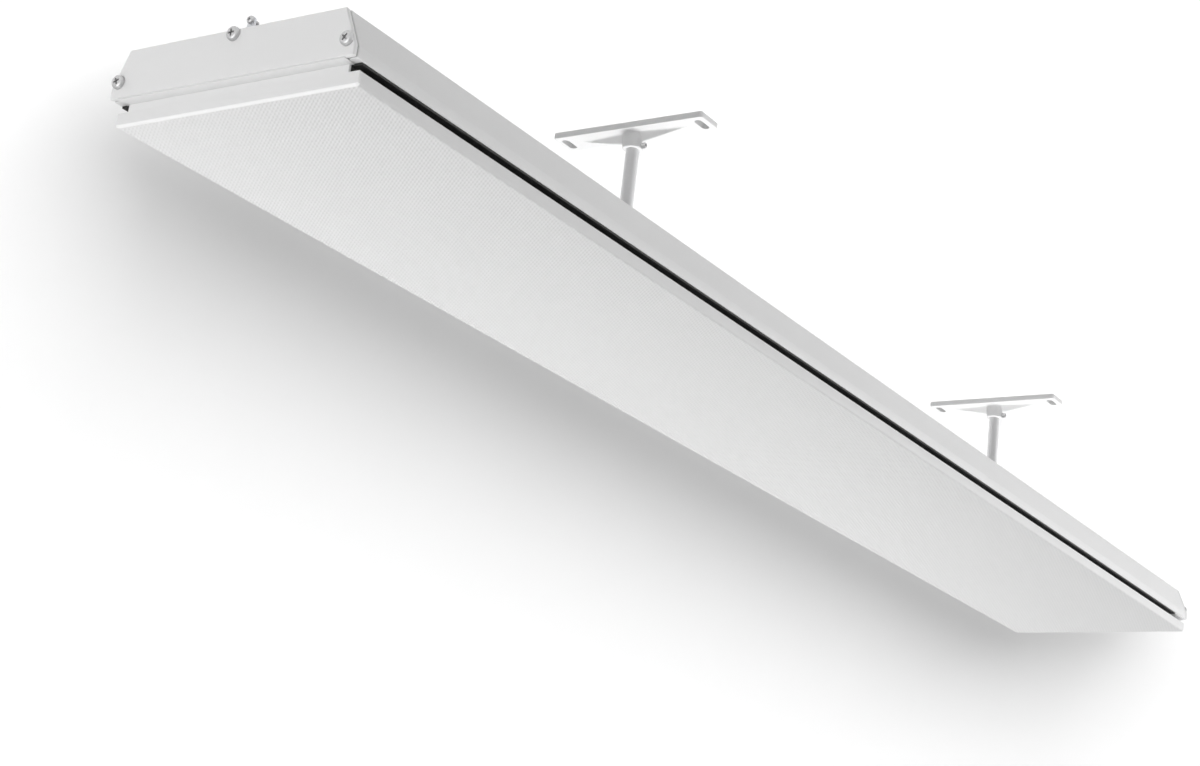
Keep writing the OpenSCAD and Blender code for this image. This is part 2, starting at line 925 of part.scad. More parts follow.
module gland_dome_nut() {
    cap = gland_d * gland_cap_share;
    color("dimgray")
    difference() {
        union() {
            at_gland(gland_top_z + loose)
                cylinder(d = gland_flats / cos(30), h = gland_hex_t, $fn = 6);
            at_gland(gland_top_z + loose) rotate_extrude() polygon(concat(
                [[0, 0], [gland_flats / 2, 0], [gland_flats / 2, gland_hex_t]],
                [[gland_flats * gland_dome_share, gland_nut_t + cap], [0, gland_nut_t + cap]]
            ));
        }
        at_gland(gland_top_z) cylinder(d = gland_d + 2 * pole_clear, h = gland_grip_t + loose);
        at_gland(gland_top_z) cylinder(d = cable_bore_d + 4 * loose, h = gland_nut_t * 3);
    }
}

module gland_lock_nut() {
    color("dimgray")
    difference() {
        at_gland(z_ceiling_in - gland_lock_t)
            cylinder(d = gland_flats / cos(30), h = gland_lock_t, $fn = 6);
        at_gland(z_ceiling_in - gland_thread_len - over)
            cylinder(d = gland_d + 2 * pole_clear, h = gland_thread_len + 2 * over);
    }
}

// Mounting track with its screws and end plugs

track_len = panel_len - 2 * track_end_in;
track_screw_in = track_w;
track_screw_side = port_d / 2 + small_head_d / 2 + loose;

function track_screw_x(i) =
    x_near + track_end_in + track_screw_in
    + (track_len - 2 * track_screw_in) * i / (track_screw_count - 1);

function track_screw_y(i) = i % 2 == 0 ? track_screw_side : -track_screw_side;

module mounting_track() {
    color("silver")
    difference() {
        mid_slab(x_near + track_end_in, z_top, track_len, track_w, track_h);
        mid_slab(
            x_near + track_end_in - over, z_top + track_wall,
            track_len + 2 * over, track_in_w, track_h - 2 * track_wall
        );
        mid_slab(
            x_near + track_end_in - over, track_z - track_wall - over,
            track_len + 2 * over, track_slot, track_wall + 2 * over
        );
        for (i = [0:track_screw_count - 1]) {
            bar_z(
                track_screw_x(i), track_screw_y(i), z_top - over,
                small_screw_d / 2 + screw_clear, track_wall + 2 * over
            );
        }
    }
}

module track_screws() {
    color("silver")
    for (i = [0:track_screw_count - 1]) {
        translate([track_screw_x(i), track_screw_y(i), z_top + track_wall])
            pan_screw(small_head_d, small_head_h, small_screw_d, track_wall + housing_wall + small_screw_d);
    }
}

module track_end_plugs() {
    plug_share = 0.25;
    plug_depth = track_w * plug_share;
    color("dimgray")
    for (side = [-1, 1]) {
        at_end(side) union() {
            mid_slab(track_end_in - track_wall, z_top, track_wall, track_w, track_h);
            mid_slab(
                track_end_in - track_wall, z_top + track_wall + loose,
                track_wall + plug_depth, track_in_w - 2 * loose, track_h - 2 * track_wall - 2 * loose
            );
        }
    }
}

// Bonding lug at the near end of the housing's top

lug_t = 1.5;
lug_end_in = 3;
lug_x = x_near + lug_end_in;
lug_foot_share = 1.9;
lug_foot = lug_w * lug_foot_share;
lug_head_share = 0.92;
rivet_r = 1.2;
rivet_head_share = 1.8;
rivet_place_share = 0.6;
lug_rivet_x = lug_x + lug_t + lug_foot * rivet_place_share;

module bonding_lug() {
    color("silver")
    difference() {
        union() {
            mid_slab(lug_x, z_top, lug_t, lug_w, lug_h);
            bar_x(lug_x, 0, z_top + lug_h, lug_w / 2, lug_t);
            mid_slab(lug_x, z_top, lug_t + lug_foot, lug_w, lug_t);
        }
        bar_x(lug_x - over, 0, z_top + lug_h, small_screw_d / 2 + screw_clear, lug_t + 2 * over);
        bar_z(lug_rivet_x, 0, z_top - over, rivet_r + screw_clear, lug_t + 2 * over);
    }
}

module bonding_screw() {
    color("silver")
    translate([lug_x, 0, z_top + lug_h]) rotate([0, -90, 0])
        pan_screw(lug_w * lug_head_share, small_head_h, small_screw_d, lug_w);
}

module lug_rivet() {
    color("silver")
    union() {
        bar_z(lug_rivet_x, 0, z_top - housing_wall / 2, rivet_r, housing_wall / 2 + lug_t);
        bar_z(lug_rivet_x, 0, z_top + lug_t, rivet_r * rivet_head_share, rivet_r * rivet_place_share);
    }
}

// Blank data plate on the housing's top
data_plate_len = 60;
data_plate_w = 34;
data_plate_t = 0.6;
data_plate_in = 120;
data_plate_gap = 5.7;

module data_plate() {
    color("silver")
    slab(
        x_far - data_plate_in - data_plate_len, track_w / 2 + data_plate_gap, z_top,
        data_plate_len, data_plate_w, data_plate_t
    );
}

// Hangers: track nut, saddle plate, lock nut and pole

module track_nut(side) {
    color("silver")
    at_pole(side) difference() {
        mid_slab(
            -track_nut_len / 2, track_nut_z,
            track_nut_len, track_in_w - 4 * loose, track_nut_t
        );
        bar_z(0, 0, track_nut_z - over, spigot_d / 2 + pole_clear, track_nut_t + 2 * over);
    }
}

module near_track_nut() {
    track_nut(-1);
}

module far_track_nut() {
    track_nut(1);
}

module saddle(side) {
    color("silver")
    at_pole(side) difference() {
        mid_slab(-track_w / 2, saddle_z, track_w, track_w, saddle_t);
        bar_z(0, 0, saddle_z - over, spigot_d / 2 + screw_clear, saddle_t + 2 * over);
    }
}

module near_saddle() {
    saddle(-1);
}

module far_saddle() {
    saddle(1);
}

module lock_nut(side) {
    color("silver")
    at_pole(side) difference() {
        translate([0, 0, lock_nut_z]) cylinder(d = lock_nut_flats / cos(30), h = lock_nut_t, $fn = 6);
        bar_z(0, 0, lock_nut_z - over, spigot_d / 2 + pole_clear, lock_nut_t + 2 * over);
    }
}

module near_lock_nut() {
    lock_nut(-1);
}

module far_lock_nut() {
    lock_nut(1);
}

module pole(side) {
    groove_h = 2 * (clamp_tip_r + seat_gap);
    color("gainsboro")
    at_pole(side) difference() {
        union() {
            bar_z(0, 0, track_nut_z, spigot_d / 2, spigot_top_z - track_nut_z);
            bar_z(0, 0, spigot_top_z, pole_d / 2, pole_top_z - spigot_top_z);
        }
        difference() {
            bar_z(0, 0, clamp_z - groove_h / 2, pole_d, groove_h);
            bar_z(0, 0, clamp_z - groove_h, pole_d / 2 - groove_depth, 2 * groove_h);
        }
    }
}

module near_pole() {
    pole(-1);
}

module far_pole() {
    pole(1);
}

// Ceiling brackets: slotted plate, collar and two tapering gussets, with a clamp screw

module slot_cut(y) {
    reach = slot_len / 2 - slot_w / 2;
    for (side = [-1, 1]) {
        bar_z(side * reach, y, -plate_t - over, slot_w / 2, plate_t + 2 * over);
    }
    slab(-reach, y - slot_w / 2, -plate_t - over, 2 * reach, slot_w, plate_t + 2 * over);
}

// Gusset that tapers from the collar to a point on the plate, in direction across
module gusset(across) {
    start = pole_d / 2;
    points = [
        [-gusset_w / 2, across * start, -plate_t],
        [gusset_w / 2, across * start, -plate_t],
        [gusset_ridge_w / 2, across * start, -plate_t - gusset_h],
        [-gusset_ridge_w / 2, across * start, -plate_t - gusset_h],
        [-gusset_w / 2, across * start, -plate_t / 2],
        [gusset_w / 2, across * start, -plate_t / 2],
        [0, across * gusset_len, -plate_t],
        [0, across * gusset_len, -plate_t / 2],
    ];
    faces = [
        [0, 1, 2, 3], [0, 4, 5, 1], [4, 7, 5], [0, 6, 7, 4], [1, 5, 7, 6],
        [0, 3, 6], [3, 2, 6], [2, 1, 6]
    ];
    polyhedron(points, across > 0 ? faces : [for (f = faces) [for (i = [len(f) - 1:-1:0]) f[i]]]);
}

module ceiling_bracket(side) {
    color("white")
    at_pole(side) difference() {
        union() {
            slab(
                -plate_w / 2 + plate_corner_r, -plate_len / 2, -plate_t,
                plate_w - 2 * plate_corner_r, plate_len, plate_t
            );
            slab(
                -plate_w / 2, -plate_len / 2 + plate_corner_r, -plate_t,
                plate_w, plate_len - 2 * plate_corner_r, plate_t
            );
            for (sx = [-1, 1]) {
                for (sy = [-1, 1]) {
                    bar_z(
                        sx * (plate_w / 2 - plate_corner_r), sy * (plate_len / 2 - plate_corner_r),
                        -plate_t, plate_corner_r, plate_t
                    );
                }
            }
            bar_z(0, 0, collar_z, collar_d / 2, collar_h + plate_t / 2);
            gusset(1);
            gusset(-1);
        }
        slot_cut(slot_y);
        slot_cut(-slot_y);
        bar_z(0, 0, collar_z - over, pole_d / 2 + pole_clear, -plate_skin - collar_z + over);
        bar_y(0, -collar_d, clamp_z, clamp_screw_d / 2 + screw_clear, collar_d);
    }
}

module near_ceiling_bracket() {
    ceiling_bracket(-1);
}

module far_ceiling_bracket() {
    ceiling_bracket(1);
}

module clamp_screw(side) {
    tip_y = pole_d / 2 - groove_depth + seat_gap;
    color("silver")
    at_pole(side) difference() {
        union() {
            bar_y(0, -collar_d / 2 - clamp_head_h, clamp_z, clamp_head_d / 2, clamp_head_h);
            bar_y(0, -collar_d / 2, clamp_z, clamp_screw_d / 2, collar_d / 2 - pole_d / 2 - seat_gap);
            bar_y(0, -collar_d / 2, clamp_z, clamp_tip_r, collar_d / 2 - tip_y);
        }
        translate([0, -collar_d / 2 - clamp_head_h / 2, clamp_z]) rotate([90, 0, 0])
            cylinder(d = clamp_head_d / 2, h = clamp_head_h, $fn = 6);
    }
}

module near_clamp_screw() {
    clamp_screw(-1);
}

module far_clamp_screw() {
    clamp_screw(1);
}

housing();
near_end_cap();
far_end_cap();
near_cap_gasket();
far_cap_gasket();
near_cap_screws();
far_cap_screws();
radiating_panel();
near_panel_end_plate();
far_panel_end_plate();
left_spacer_rail();
right_spacer_rail();
rail_screws();
left_element();
right_element();
element_seals();
element_clamps();
element_clamp_screws();
insulation_blanket();
heat_shield();
terminal_block();
terminal_screws();
thermal_cutout();
earth_stud();
earth_nut();
live_lead();
neutral_lead();
bridge_lead();
earth_lead();
gland_body();
gland_seal();
gland_dome_nut();
gland_lock_nut();
mounting_track();
track_screws();
track_end_plugs();
bonding_lug();
bonding_screw();
lug_rivet();
data_plate();
near_track_nut();
near_saddle();
near_lock_nut();
near_pole();
near_ceiling_bracket();
near_clamp_screw();
far_track_nut();
far_saddle();
far_lock_nut();
far_pole();
far_ceiling_bracket();
far_clamp_screw();
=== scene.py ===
import bpy
import bmesh
from math import radians, pi
from mathutils import Matrix, Vector


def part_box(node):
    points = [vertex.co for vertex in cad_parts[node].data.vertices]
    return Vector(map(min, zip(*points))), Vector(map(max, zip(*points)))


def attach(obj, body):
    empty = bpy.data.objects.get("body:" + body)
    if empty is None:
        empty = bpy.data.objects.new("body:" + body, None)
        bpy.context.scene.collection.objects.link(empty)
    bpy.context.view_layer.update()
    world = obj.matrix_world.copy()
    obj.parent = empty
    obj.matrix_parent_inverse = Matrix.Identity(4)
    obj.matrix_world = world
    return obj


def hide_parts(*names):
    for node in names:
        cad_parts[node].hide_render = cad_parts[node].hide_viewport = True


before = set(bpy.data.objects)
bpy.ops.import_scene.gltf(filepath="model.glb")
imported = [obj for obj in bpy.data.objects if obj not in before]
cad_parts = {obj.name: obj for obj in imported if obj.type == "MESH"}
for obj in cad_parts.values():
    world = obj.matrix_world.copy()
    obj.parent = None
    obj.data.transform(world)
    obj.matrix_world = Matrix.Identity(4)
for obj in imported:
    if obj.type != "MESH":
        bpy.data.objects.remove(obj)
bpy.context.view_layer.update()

# Camera
# The photo was taken from below and in front of the near end, looking up along the heater.
# Its place and its three directions were fitted to the photo's edges, in the frame's metres.
camera_place = Vector((-1.42932, -0.76964, -0.59265))
camera_right = Vector((0.5335014, -0.8382880, 0.1124698))
camera_up = Vector((-0.3049704, -0.0666270, 0.9500284))
camera_back = Vector((-0.7889039, -0.5411414, -0.2911986))
bpy.ops.object.camera_add()
camera = bpy.context.object
camera.name = "photo_camera"
camera.data.sensor_width = 36
camera.data.lens = 67.27
camera.data.clip_start = 0.01
camera.data.clip_end = 60
turn = Matrix((camera_right, camera_up, camera_back)).transposed().to_4x4()
camera.matrix_world = Matrix.Translation(camera_place) @ turn
bpy.context.scene.camera = camera

# Studio
# A white ceiling carries the brackets and takes a soft shadow, and a pale floor lies well below.
# The ceiling is a painted board that only shows from below, so the heater's top can be seen too.
board_middle = (1.5, 1.0)
ceiling_z = 0.0004
ceiling_size = 30
ceiling_white = 0.93
ceiling_bounce = 0.53
ceiling_lift = 0.04
floor_z = -1.9
floor_size = 60
floor_white = 0.80
floor_lift = 0.28
shadow_depth = 0.64
shadow_softness = 0.19
air_strength = 0.68
shadow_lamp_place = camera_place + 0.13 * camera_right + 0.19 * camera_up


def number(tree, kind, first, second=0):
    """Math node of that kind on sockets or numbers."""
    node = tree.nodes.new("ShaderNodeMath")
    node.operation = kind
    for slot, value in enumerate((first, second)):
        if isinstance(value, (int, float)):
            node.inputs[slot].default_value = value
        else:
            tree.links.new(value, node.inputs[slot])
    return node.outputs[0]


def grey(value):
    """A colour with no hue."""
    return (value, value, value)


def board(name, z, size, paint, lift):
    """A wide painted board that looks paler than it is, also where a glossy surface shows it."""
    bpy.ops.object.select_all(action="DESELECT")
    bpy.ops.mesh.primitive_plane_add(size=size, location=(*board_middle, z))
    bpy.ops.object.transform_apply(location=True, rotation=True, scale=True)
    plane = bpy.context.object
    plane.name = name
    material = bpy.data.materials.new(name + "_paint")
    material.use_nodes = True
    tree = material.node_tree
    shader = tree.nodes["Principled BSDF"]
    shader.inputs["Base Color"].default_value = (*grey(paint), 1)
    shader.inputs["Roughness"].default_value = 0.9
    shader.inputs["Specular IOR Level"].default_value = 0.1
    shader.inputs["Emission Color"].default_value = (1, 1, 1, 1)
    light_path = tree.nodes.new("ShaderNodeLightPath")
    rays = light_path.outputs
    seen = number(tree, "MAXIMUM", rays["Is Camera Ray"], rays["Is Glossy Ray"])
    tree.links.new(number(tree, "MULTIPLY", seen, lift), shader.inputs["Emission Strength"])
    plane.data.materials.append(material)
    return plane


floor = board("floor", floor_z, floor_size, floor_white, floor_lift)
ceiling = board("ceiling", ceiling_z, ceiling_size, ceiling_white, ceiling_lift)
bpy.ops.object.mode_set(mode="EDIT")
bpy.ops.mesh.select_all(action="SELECT")
bpy.ops.mesh.flip_normals()
bpy.ops.object.mode_set(mode="OBJECT")
tree = ceiling.data.materials[0].node_tree
light_path = tree.nodes["Light Path"]
shader = tree.nodes["Principled BSDF"]
paint_seen = tree.nodes.new("ShaderNodeMix")
paint_seen.data_type = "RGBA"
paint_seen.inputs["A"].default_value = (*grey(ceiling_white), 1)
paint_seen.inputs["B"].default_value = (*grey(ceiling_bounce), 1)
geometry = tree.nodes.new("ShaderNodeNewGeometry")
clear = tree.nodes.new("ShaderNodeBsdfTransparent")
mix = tree.nodes.new("ShaderNodeMixShader")
unseen = number(tree, "MAXIMUM", light_path.outputs["Is Shadow Ray"],
                geometry.outputs["Backfacing"])
tree.links.new(light_path.outputs["Is Diffuse Ray"], paint_seen.inputs["Factor"])
tree.links.new(paint_seen.outputs["Result"], shader.inputs["Base Color"])
tree.links.new(unseen, mix.inputs["Fac"])
tree.links.new(shader.outputs[0], mix.inputs[1])
tree.links.new(clear.outputs[0], mix.inputs[2])
tree.links.new(mix.outputs[0], tree.nodes["Material Output"].inputs["Surface"])

world = bpy.data.worlds.new("studio_air")
bpy.context.scene.world = world
world.use_nodes = True
air = world.node_tree.nodes["Background"]
air.inputs["Color"].default_value = (1, 1, 1, 1)
air.inputs["Strength"].default_value = air_strength


def chosen_for(light, side, state, *pieces):
    """Says which pieces take (receiver) or block (blocker) a lamp's light, or don't."""
    chosen = getattr(light.light_linking, side + "_collection")
    if chosen is None:
        chosen = bpy.data.collections.new(light.name + "_" + side)
        setattr(light.light_linking, side + "_collection", chosen)
    for piece in pieces:
        chosen.objects.link(piece)
        chosen.collection_objects[-1].light_linking.link_state = state


def lamp(name, place, target, size, power):
    """A square soft lamp that lights the heater but neither the ceiling nor the floor."""
    bpy.ops.object.light_add(type="AREA", location=place)
    light = bpy.context.object
    light.name = name
    light.data.shape = "SQUARE"
    light.data.size = size
    light.data.energy = power
    light.visible_camera = False
    light.rotation_euler = (Vector(target) - Vector(place)).to_track_quat("-Z", "Y").to_euler()
    chosen_for(light, "receiver", "EXCLUDE", ceiling, floor)
    return light


near_end_lamp = lamp("near_end_lamp", (-2.6, 0.3, -1.0), (-0.6, 0, -0.1), size=1.6, power=22)
side_lamp = lamp("side_lamp", (2.0, -1.7, -0.5), (0.5, 0, -0.1), size=1.0, power=28)
low_lamp = lamp("low_lamp", (0.0, -0.2, -1.7), (0.1, 0, -0.1), size=1.4, power=12)
lamp("top_lamp", (-0.6, 0.8, 1.8), (0, 0, -0.1), size=1.5, power=7)

# A small lamp beside the camera lights only the ceiling, evenly, and throws the soft shadow on it.
bpy.ops.object.light_add(type="POINT", location=shadow_lamp_place)
shadow_lamp = bpy.context.object
shadow_lamp.name = "shadow_lamp"
shadow_lamp.data.shadow_soft_size = shadow_softness
shadow_fall = ceiling_z - shadow_lamp_place.z
shadow_lamp.data.energy = shadow_depth * 4 * pi ** 2 / (ceiling_white * shadow_fall)
shadow_lamp.data.use_nodes = True
tree = shadow_lamp.data.node_tree
even = tree.nodes.new("ShaderNodeLightFalloff")
even.inputs["Strength"].default_value = 1
reach = tree.nodes.new("ShaderNodeLightPath")
strength = number(tree, "MULTIPLY", even.outputs["Constant"], reach.outputs["Ray Length"])
tree.links.new(strength, tree.nodes["Emission"].inputs["Strength"])
shadow_lamp.visible_camera = False
chosen_for(shadow_lamp, "receiver", "INCLUDE", ceiling)

bpy.context.scene.view_settings.view_transform = "Standard"

# Housing
# A white aluminium extrusion: flat top, sloping sides, upright lips and inward returns.
# It is powder coated, so its edges are softly rounded and its faces have a faint orange peel.
shoulder_drop = 0.0213
slope_run = 0.009
housing_wall = 0.0018
return_w = 0.007
tiny = 0.0001


def start_clear():
    """Leaves edit mode and deselects everything."""
    if bpy.context.object and bpy.context.object.mode != "OBJECT":
        bpy.ops.object.mode_set(mode="OBJECT")
    bpy.ops.object.select_all(action="DESELECT")


def block(name, low, high):
    """A box between two corners, selected and ready to be shaped in edit mode."""
    start_clear()
    low, high = Vector(low), Vector(high)
    bpy.ops.mesh.primitive_cube_add(size=1, location=(low + high) / 2, scale=high - low)
    bpy.ops.object.transform_apply(location=True, rotation=True, scale=True)
    piece = bpy.context.object
    piece.name = name
    return piece


def pick(piece, kind, wanted):
    """Selects the vertices, edges or faces that are wanted, in edit mode."""
    start_clear()
    piece.select_set(True)
    bpy.context.view_layer.objects.active = piece
    bpy.ops.object.mode_set(mode="EDIT")
    bpy.ops.mesh.select_mode(type=kind)
    bpy.ops.mesh.select_all(action="DESELECT")
    shape = bmesh.from_edit_mesh(piece.data)
    parts = {"VERT": shape.verts, "EDGE": shape.edges, "FACE": shape.faces}[kind]
    for part in parts:
        if wanted(part):
            part.select_set(True)
    shape.select_flush_mode()
    bmesh.update_edit_mesh(piece.data)


def middle(part):
    """The middle of an edge or a face."""
    return sum((v.co for v in part.verts), Vector()) / len(part.verts)


def all_of(part):
    """Every vertex, edge or face."""
    return True


def modify(piece, kind, **settings):
    """Adds a modifier and applies it."""
    start_clear()
    piece.select_set(True)
    bpy.context.view_layer.objects.active = piece
    modifier = piece.modifiers.new(kind.lower(), kind)
    for key, value in settings.items():
        setattr(modifier, key, value)
    bpy.ops.object.modifier_apply(modifier=modifier.name)


def soften(piece, width, segments=3, angle=30):
    """Rounds the edges that are sharper than an angle."""
    modify(piece, "BEVEL", width=width, segments=segments, limit_method="ANGLE",
           angle_limit=radians(angle), harden_normals=False)


def hand_over(piece, name, body, slot, material, *nodes, angle=35):
    """Names a finished piece, gives it its finish and lets it ride on its body."""
    start_clear()
    piece.name = name
    piece.data.name = name
    piece.select_set(True)
    bpy.context.view_layer.objects.active = piece
    bpy.ops.object.shade_smooth_by_angle(angle=radians(angle))
    piece.data.materials.clear()
    piece.data.materials.append(material)
    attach(piece, body)
    if nodes:
        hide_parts(*nodes)


def make_grain():
    """Group for the small unevenness that paint, castings and drawn metal share."""
    group = bpy.data.node_groups.new("surface_grain", "ShaderNodeTree")
    group.interface.new_socket("Scale", in_out="INPUT", socket_type="NodeSocketFloat")
    group.interface.new_socket("Stretch", in_out="INPUT", socket_type="NodeSocketVector")
    group.interface.new_socket("Height", in_out="OUTPUT", socket_type="NodeSocketFloat")
    group.interface.new_socket("Mottle", in_out="OUTPUT", socket_type="NodeSocketFloat")
    nodes, links = group.nodes, group.links
    given = nodes.new("NodeGroupInput")
    out = nodes.new("NodeGroupOutput")
    place = nodes.new("ShaderNodeTexCoord")
    stretch = nodes.new("ShaderNodeVectorMath")
    stretch.operation = "MULTIPLY"
    fine = nodes.new("ShaderNodeTexNoise")
    fine.inputs["Detail"].default_value = 3
    fine.inputs["Roughness"].default_value = 0.6
    broad = nodes.new("ShaderNodeTexNoise")
    broad.inputs["Scale"].default_value = 11
    broad.inputs["Detail"].default_value = 4
    links.new(place.outputs["Object"], stretch.inputs[0])
    links.new(given.outputs["Stretch"], stretch.inputs[1])
    links.new(stretch.outputs[0], fine.inputs["Vector"])
    links.new(given.outputs["Scale"], fine.inputs["Scale"])
    links.new(place.outputs["Object"], broad.inputs["Vector"])
    links.new(fine.outputs[0], out.inputs["Height"])
    links.new(broad.outputs[0], out.inputs["Mottle"])
    return group


grain = make_grain()


def finish(name, colour, shade, rough, spread, scale, depth, metal=0.0, stretch=(1, 1, 1)):
    """A paint, metal or plastic whose colour, gloss and surface vary a little.

    It is between colour and shade, its roughness is rough give or take spread, and its grain has
    scale lumps to a metre that stand depth metres high, drawn out where stretch is below 1.
    """
    material = bpy.data.materials.new(name)
    material.use_nodes = True
    nodes, links = material.node_tree.nodes, material.node_tree.links
    shader = nodes["Principled BSDF"]
    shader.inputs["Metallic"].default_value = metal
    uneven = nodes.new("ShaderNodeGroup")
    uneven.node_tree = grain
    uneven.inputs["Scale"].default_value = scale
    uneven.inputs["Stretch"].default_value = stretch
    tone = nodes.new("ShaderNodeMix")
    tone.data_type = "RGBA"
    tone.inputs["A"].default_value = (*colour, 1)
    tone.inputs["B"].default_value = (*shade, 1)
    blend = nodes.new("ShaderNodeMath")
    blend.operation = "MULTIPLY"
    gloss = nodes.new("ShaderNodeMapRange")
    gloss.inputs["From Min"].default_value = 0.3
    gloss.inputs["From Max"].default_value = 0.7
    gloss.inputs["To Min"].default_value = rough - spread
    gloss.inputs["To Max"].default_value = rough + spread
    bump = nodes.new("ShaderNodeBump")
    bump.inputs["Distance"].default_value = depth
    links.new(uneven.outputs["Mottle"], blend.inputs[0])
    links.new(uneven.outputs["Height"], blend.inputs[1])
    blend.use_clamp = True
    links.new(blend.outputs[0], tone.inputs["Factor"])
    links.new(tone.outputs["Result"], shader.inputs["Base Color"])
    links.new(uneven.outputs["Height"], gloss.inputs["Value"])
    links.new(gloss.outputs["Result"], shader.inputs["Roughness"])
    links.new(uneven.outputs["Height"], bump.inputs["Height"])
    links.new(bump.outputs["Normal"], shader.inputs["Normal"])
    return material


def tapered_outline(piece, high):
    """Gives a box the housing's outline: upright lips below and sloping sides above."""
    pick(piece, "FACE", all_of)
    bpy.ops.mesh.bisect(plane_co=(0, 0, high.z - shoulder_drop), plane_no=(0, 0, 1))
    pick(piece, "VERT", lambda v: v.co.z > high.z - tiny)
    bpy.ops.transform.resize(value=(1, 1 - slope_run / high.y, 1), center_override=(0, 0, high.z))
    bpy.ops.object.mode_set(mode="OBJECT")


white_coat = finish("white_powder_coat", grey(0.80), grey(0.77), rough=0.42, spread=0.05, scale=900,
                    depth=0.00004)
low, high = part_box("housing")
housing = block("housing_shell", low, high)
tapered_outline(housing, high)
pick(housing, "FACE", lambda f: abs(f.normal.x) > 0.9 or f.normal.z < -0.9)
bpy.ops.mesh.delete(type="FACE")
for side in (1, -1):
    pick(housing, "EDGE", lambda e: middle(e).z < low.z + tiny and abs(middle(e).x) < 0.1
         and middle(e).y * side > 0)
    bpy.ops.mesh.extrude_edges_move(TRANSFORM_OT_translate={"value": (0, -side * return_w, 0)})
pick(housing, "FACE", all_of)
bpy.ops.mesh.normals_make_consistent(inside=False)
bpy.ops.object.mode_set(mode="OBJECT")
modify(housing, "SOLIDIFY", thickness=housing_wall, offset=-1, use_even_offset=True)
soften(housing, width=0.0006, segments=3, angle=20)
hand_over(housing, "housing_shell", "heater", "white_powder_coat", white_coat, "housing")

# End caps
# Flat plates with the housing's outline, cut from thicker sheet and powder coated.
# Their outer edges are rounded, and three pan head screws hold each one to the housing's ports.
for end in ("near", "far"):
    low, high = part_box(end + "_end_cap")
    cap = block(end + "_cap", low, high)
    tapered_outline(cap, high)
    soften(cap, width=0.0009, segments=4, angle=20)
    hand_over(cap, end + "_cap", "heater", "white_powder_coat", white_coat, end + "_end_cap")

# Cap screws
# Pan head cross-recess screws of bright steel, three at each end, turned home at odd angles.
# The heads are pressed with a domed edge and a tapered cross, here as shares of the head's size.
cap_head_d = 0.008
cap_head_h = 0.0026
cap_screw_d = 0.0032
cap_screw_len = 0.016
head_round = 0.62
cross_reach = 0.29
cross_half_w = 0.075
cross_floor = 0.35
cross_taper = 0.6


def drum(name, place, radius, height, sides=48):
    """A round bar that stands on place."""
    start_clear()
    x, y, z = place
    bpy.ops.mesh.primitive_cylinder_add(
        vertices=sides, radius=radius, depth=height, location=(x, y, z + height / 2))
    bpy.ops.object.transform_apply(location=True, rotation=True, scale=True)
    piece = bpy.context.object
    piece.name = name
    return piece


def extrude_up(z):
    """Extrudes what is picked along Z, or in place where z is 0."""
    bpy.ops.mesh.extrude_region_move(TRANSFORM_OT_translate={"value": (0, 0, z)})


def cut(piece, cutter, operation="DIFFERENCE"):
    """Cuts, joins or keeps what the cutter covers, then removes the cutter."""
    modify(piece, "BOOLEAN", operation=operation, object=cutter, solver="EXACT")
    bpy.data.objects.remove(cutter)


def pan_head_screw(name, head_d, head_h, shank_d, shank_len):
    """Screw with its head above the origin, along Z, and a tapered cross in the head."""
    screw = drum(name, (0, 0, 0), head_d / 2, head_h)
    pick(screw, "EDGE", lambda e: all(v.co.z > head_h - tiny for v in e.verts))
    bpy.ops.mesh.bevel(offset=head_h * head_round, segments=6, profile=0.5)
    pick(screw, "FACE", lambda f: f.normal.z < -0.9)
    bpy.ops.mesh.inset(thickness=(head_d - shank_d) / 2)
    extrude_up(-shank_len)
    bpy.ops.object.mode_set(mode="OBJECT")
    for across in (0, 1):
        long, short = head_d * cross_reach, head_d * cross_half_w
        x, y = (long, short) if across else (short, long)
        blade = block("cross", (-x, -y, head_h * cross_floor), (x, y, head_h * 1.3))
        pick(blade, "VERT", lambda v: v.co.z < head_h * 0.5)
        bpy.ops.transform.resize(
            value=(cross_taper, cross_taper, 1), center_override=(0, 0, head_h * cross_floor))
        bpy.ops.object.mode_set(mode="OBJECT")
        cut(screw, blade)
    return screw


def join(pieces):
    """Makes one object of several and returns it."""
    start_clear()
    for piece in pieces:
        piece.select_set(True)
    bpy.context.view_layer.objects.active = pieces[0]
    bpy.ops.object.join()
    return pieces[0]


def copy_of(piece, name, place):
    """A copy with a mesh of its own, moved and turned by the matrix place."""
    copy = piece.copy()
    copy.data = piece.data.copy()
    copy.name = name
    bpy.context.collection.objects.link(copy)
    copy.data.transform(place)
    return copy


def lying(side):
    """Turns an upright screw so that its head points out of the near (-1) or far (1) end."""
    return Matrix.Rotation(side * pi / 2, 4, "Y")


screw_steel = finish("screw_steel", grey(0.56), (0.44, 0.44, 0.45), rough=0.42, spread=0.08,
                     scale=2500, depth=0.00001, metal=0.85)
cap_screw = pan_head_screw("cap_screw", cap_head_d, cap_head_h, cap_screw_d, cap_screw_len)
screw_y = 0.078
screw_turns = (20, 50, 5)
for end, side in (("near", -1), ("far", 1)):
    low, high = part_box(end + "_end_cap")
    face_x = low.x if side < 0 else high.x
    low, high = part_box(end + "_cap_screws")
    side_z, top_z = low.z + cap_head_d / 2, high.z - cap_head_d / 2
    screw_places = ((screw_y, side_z), (-screw_y, side_z), (0, top_z))
    screws = []
    for (y, z), degrees in zip(screw_places, screw_turns):
        place = (Matrix.Translation((face_x, y, z)) @ lying(side)
                 @ Matrix.Rotation(radians(degrees), 4, "Z"))
        screws.append(copy_of(cap_screw, end + "_screw", place))
    hand_over(join(screws), end + "_cap_pan_screws", "heater", "screw_steel", screw_steel,
              end + "_cap_screws")
bpy.data.objects.remove(cap_screw)

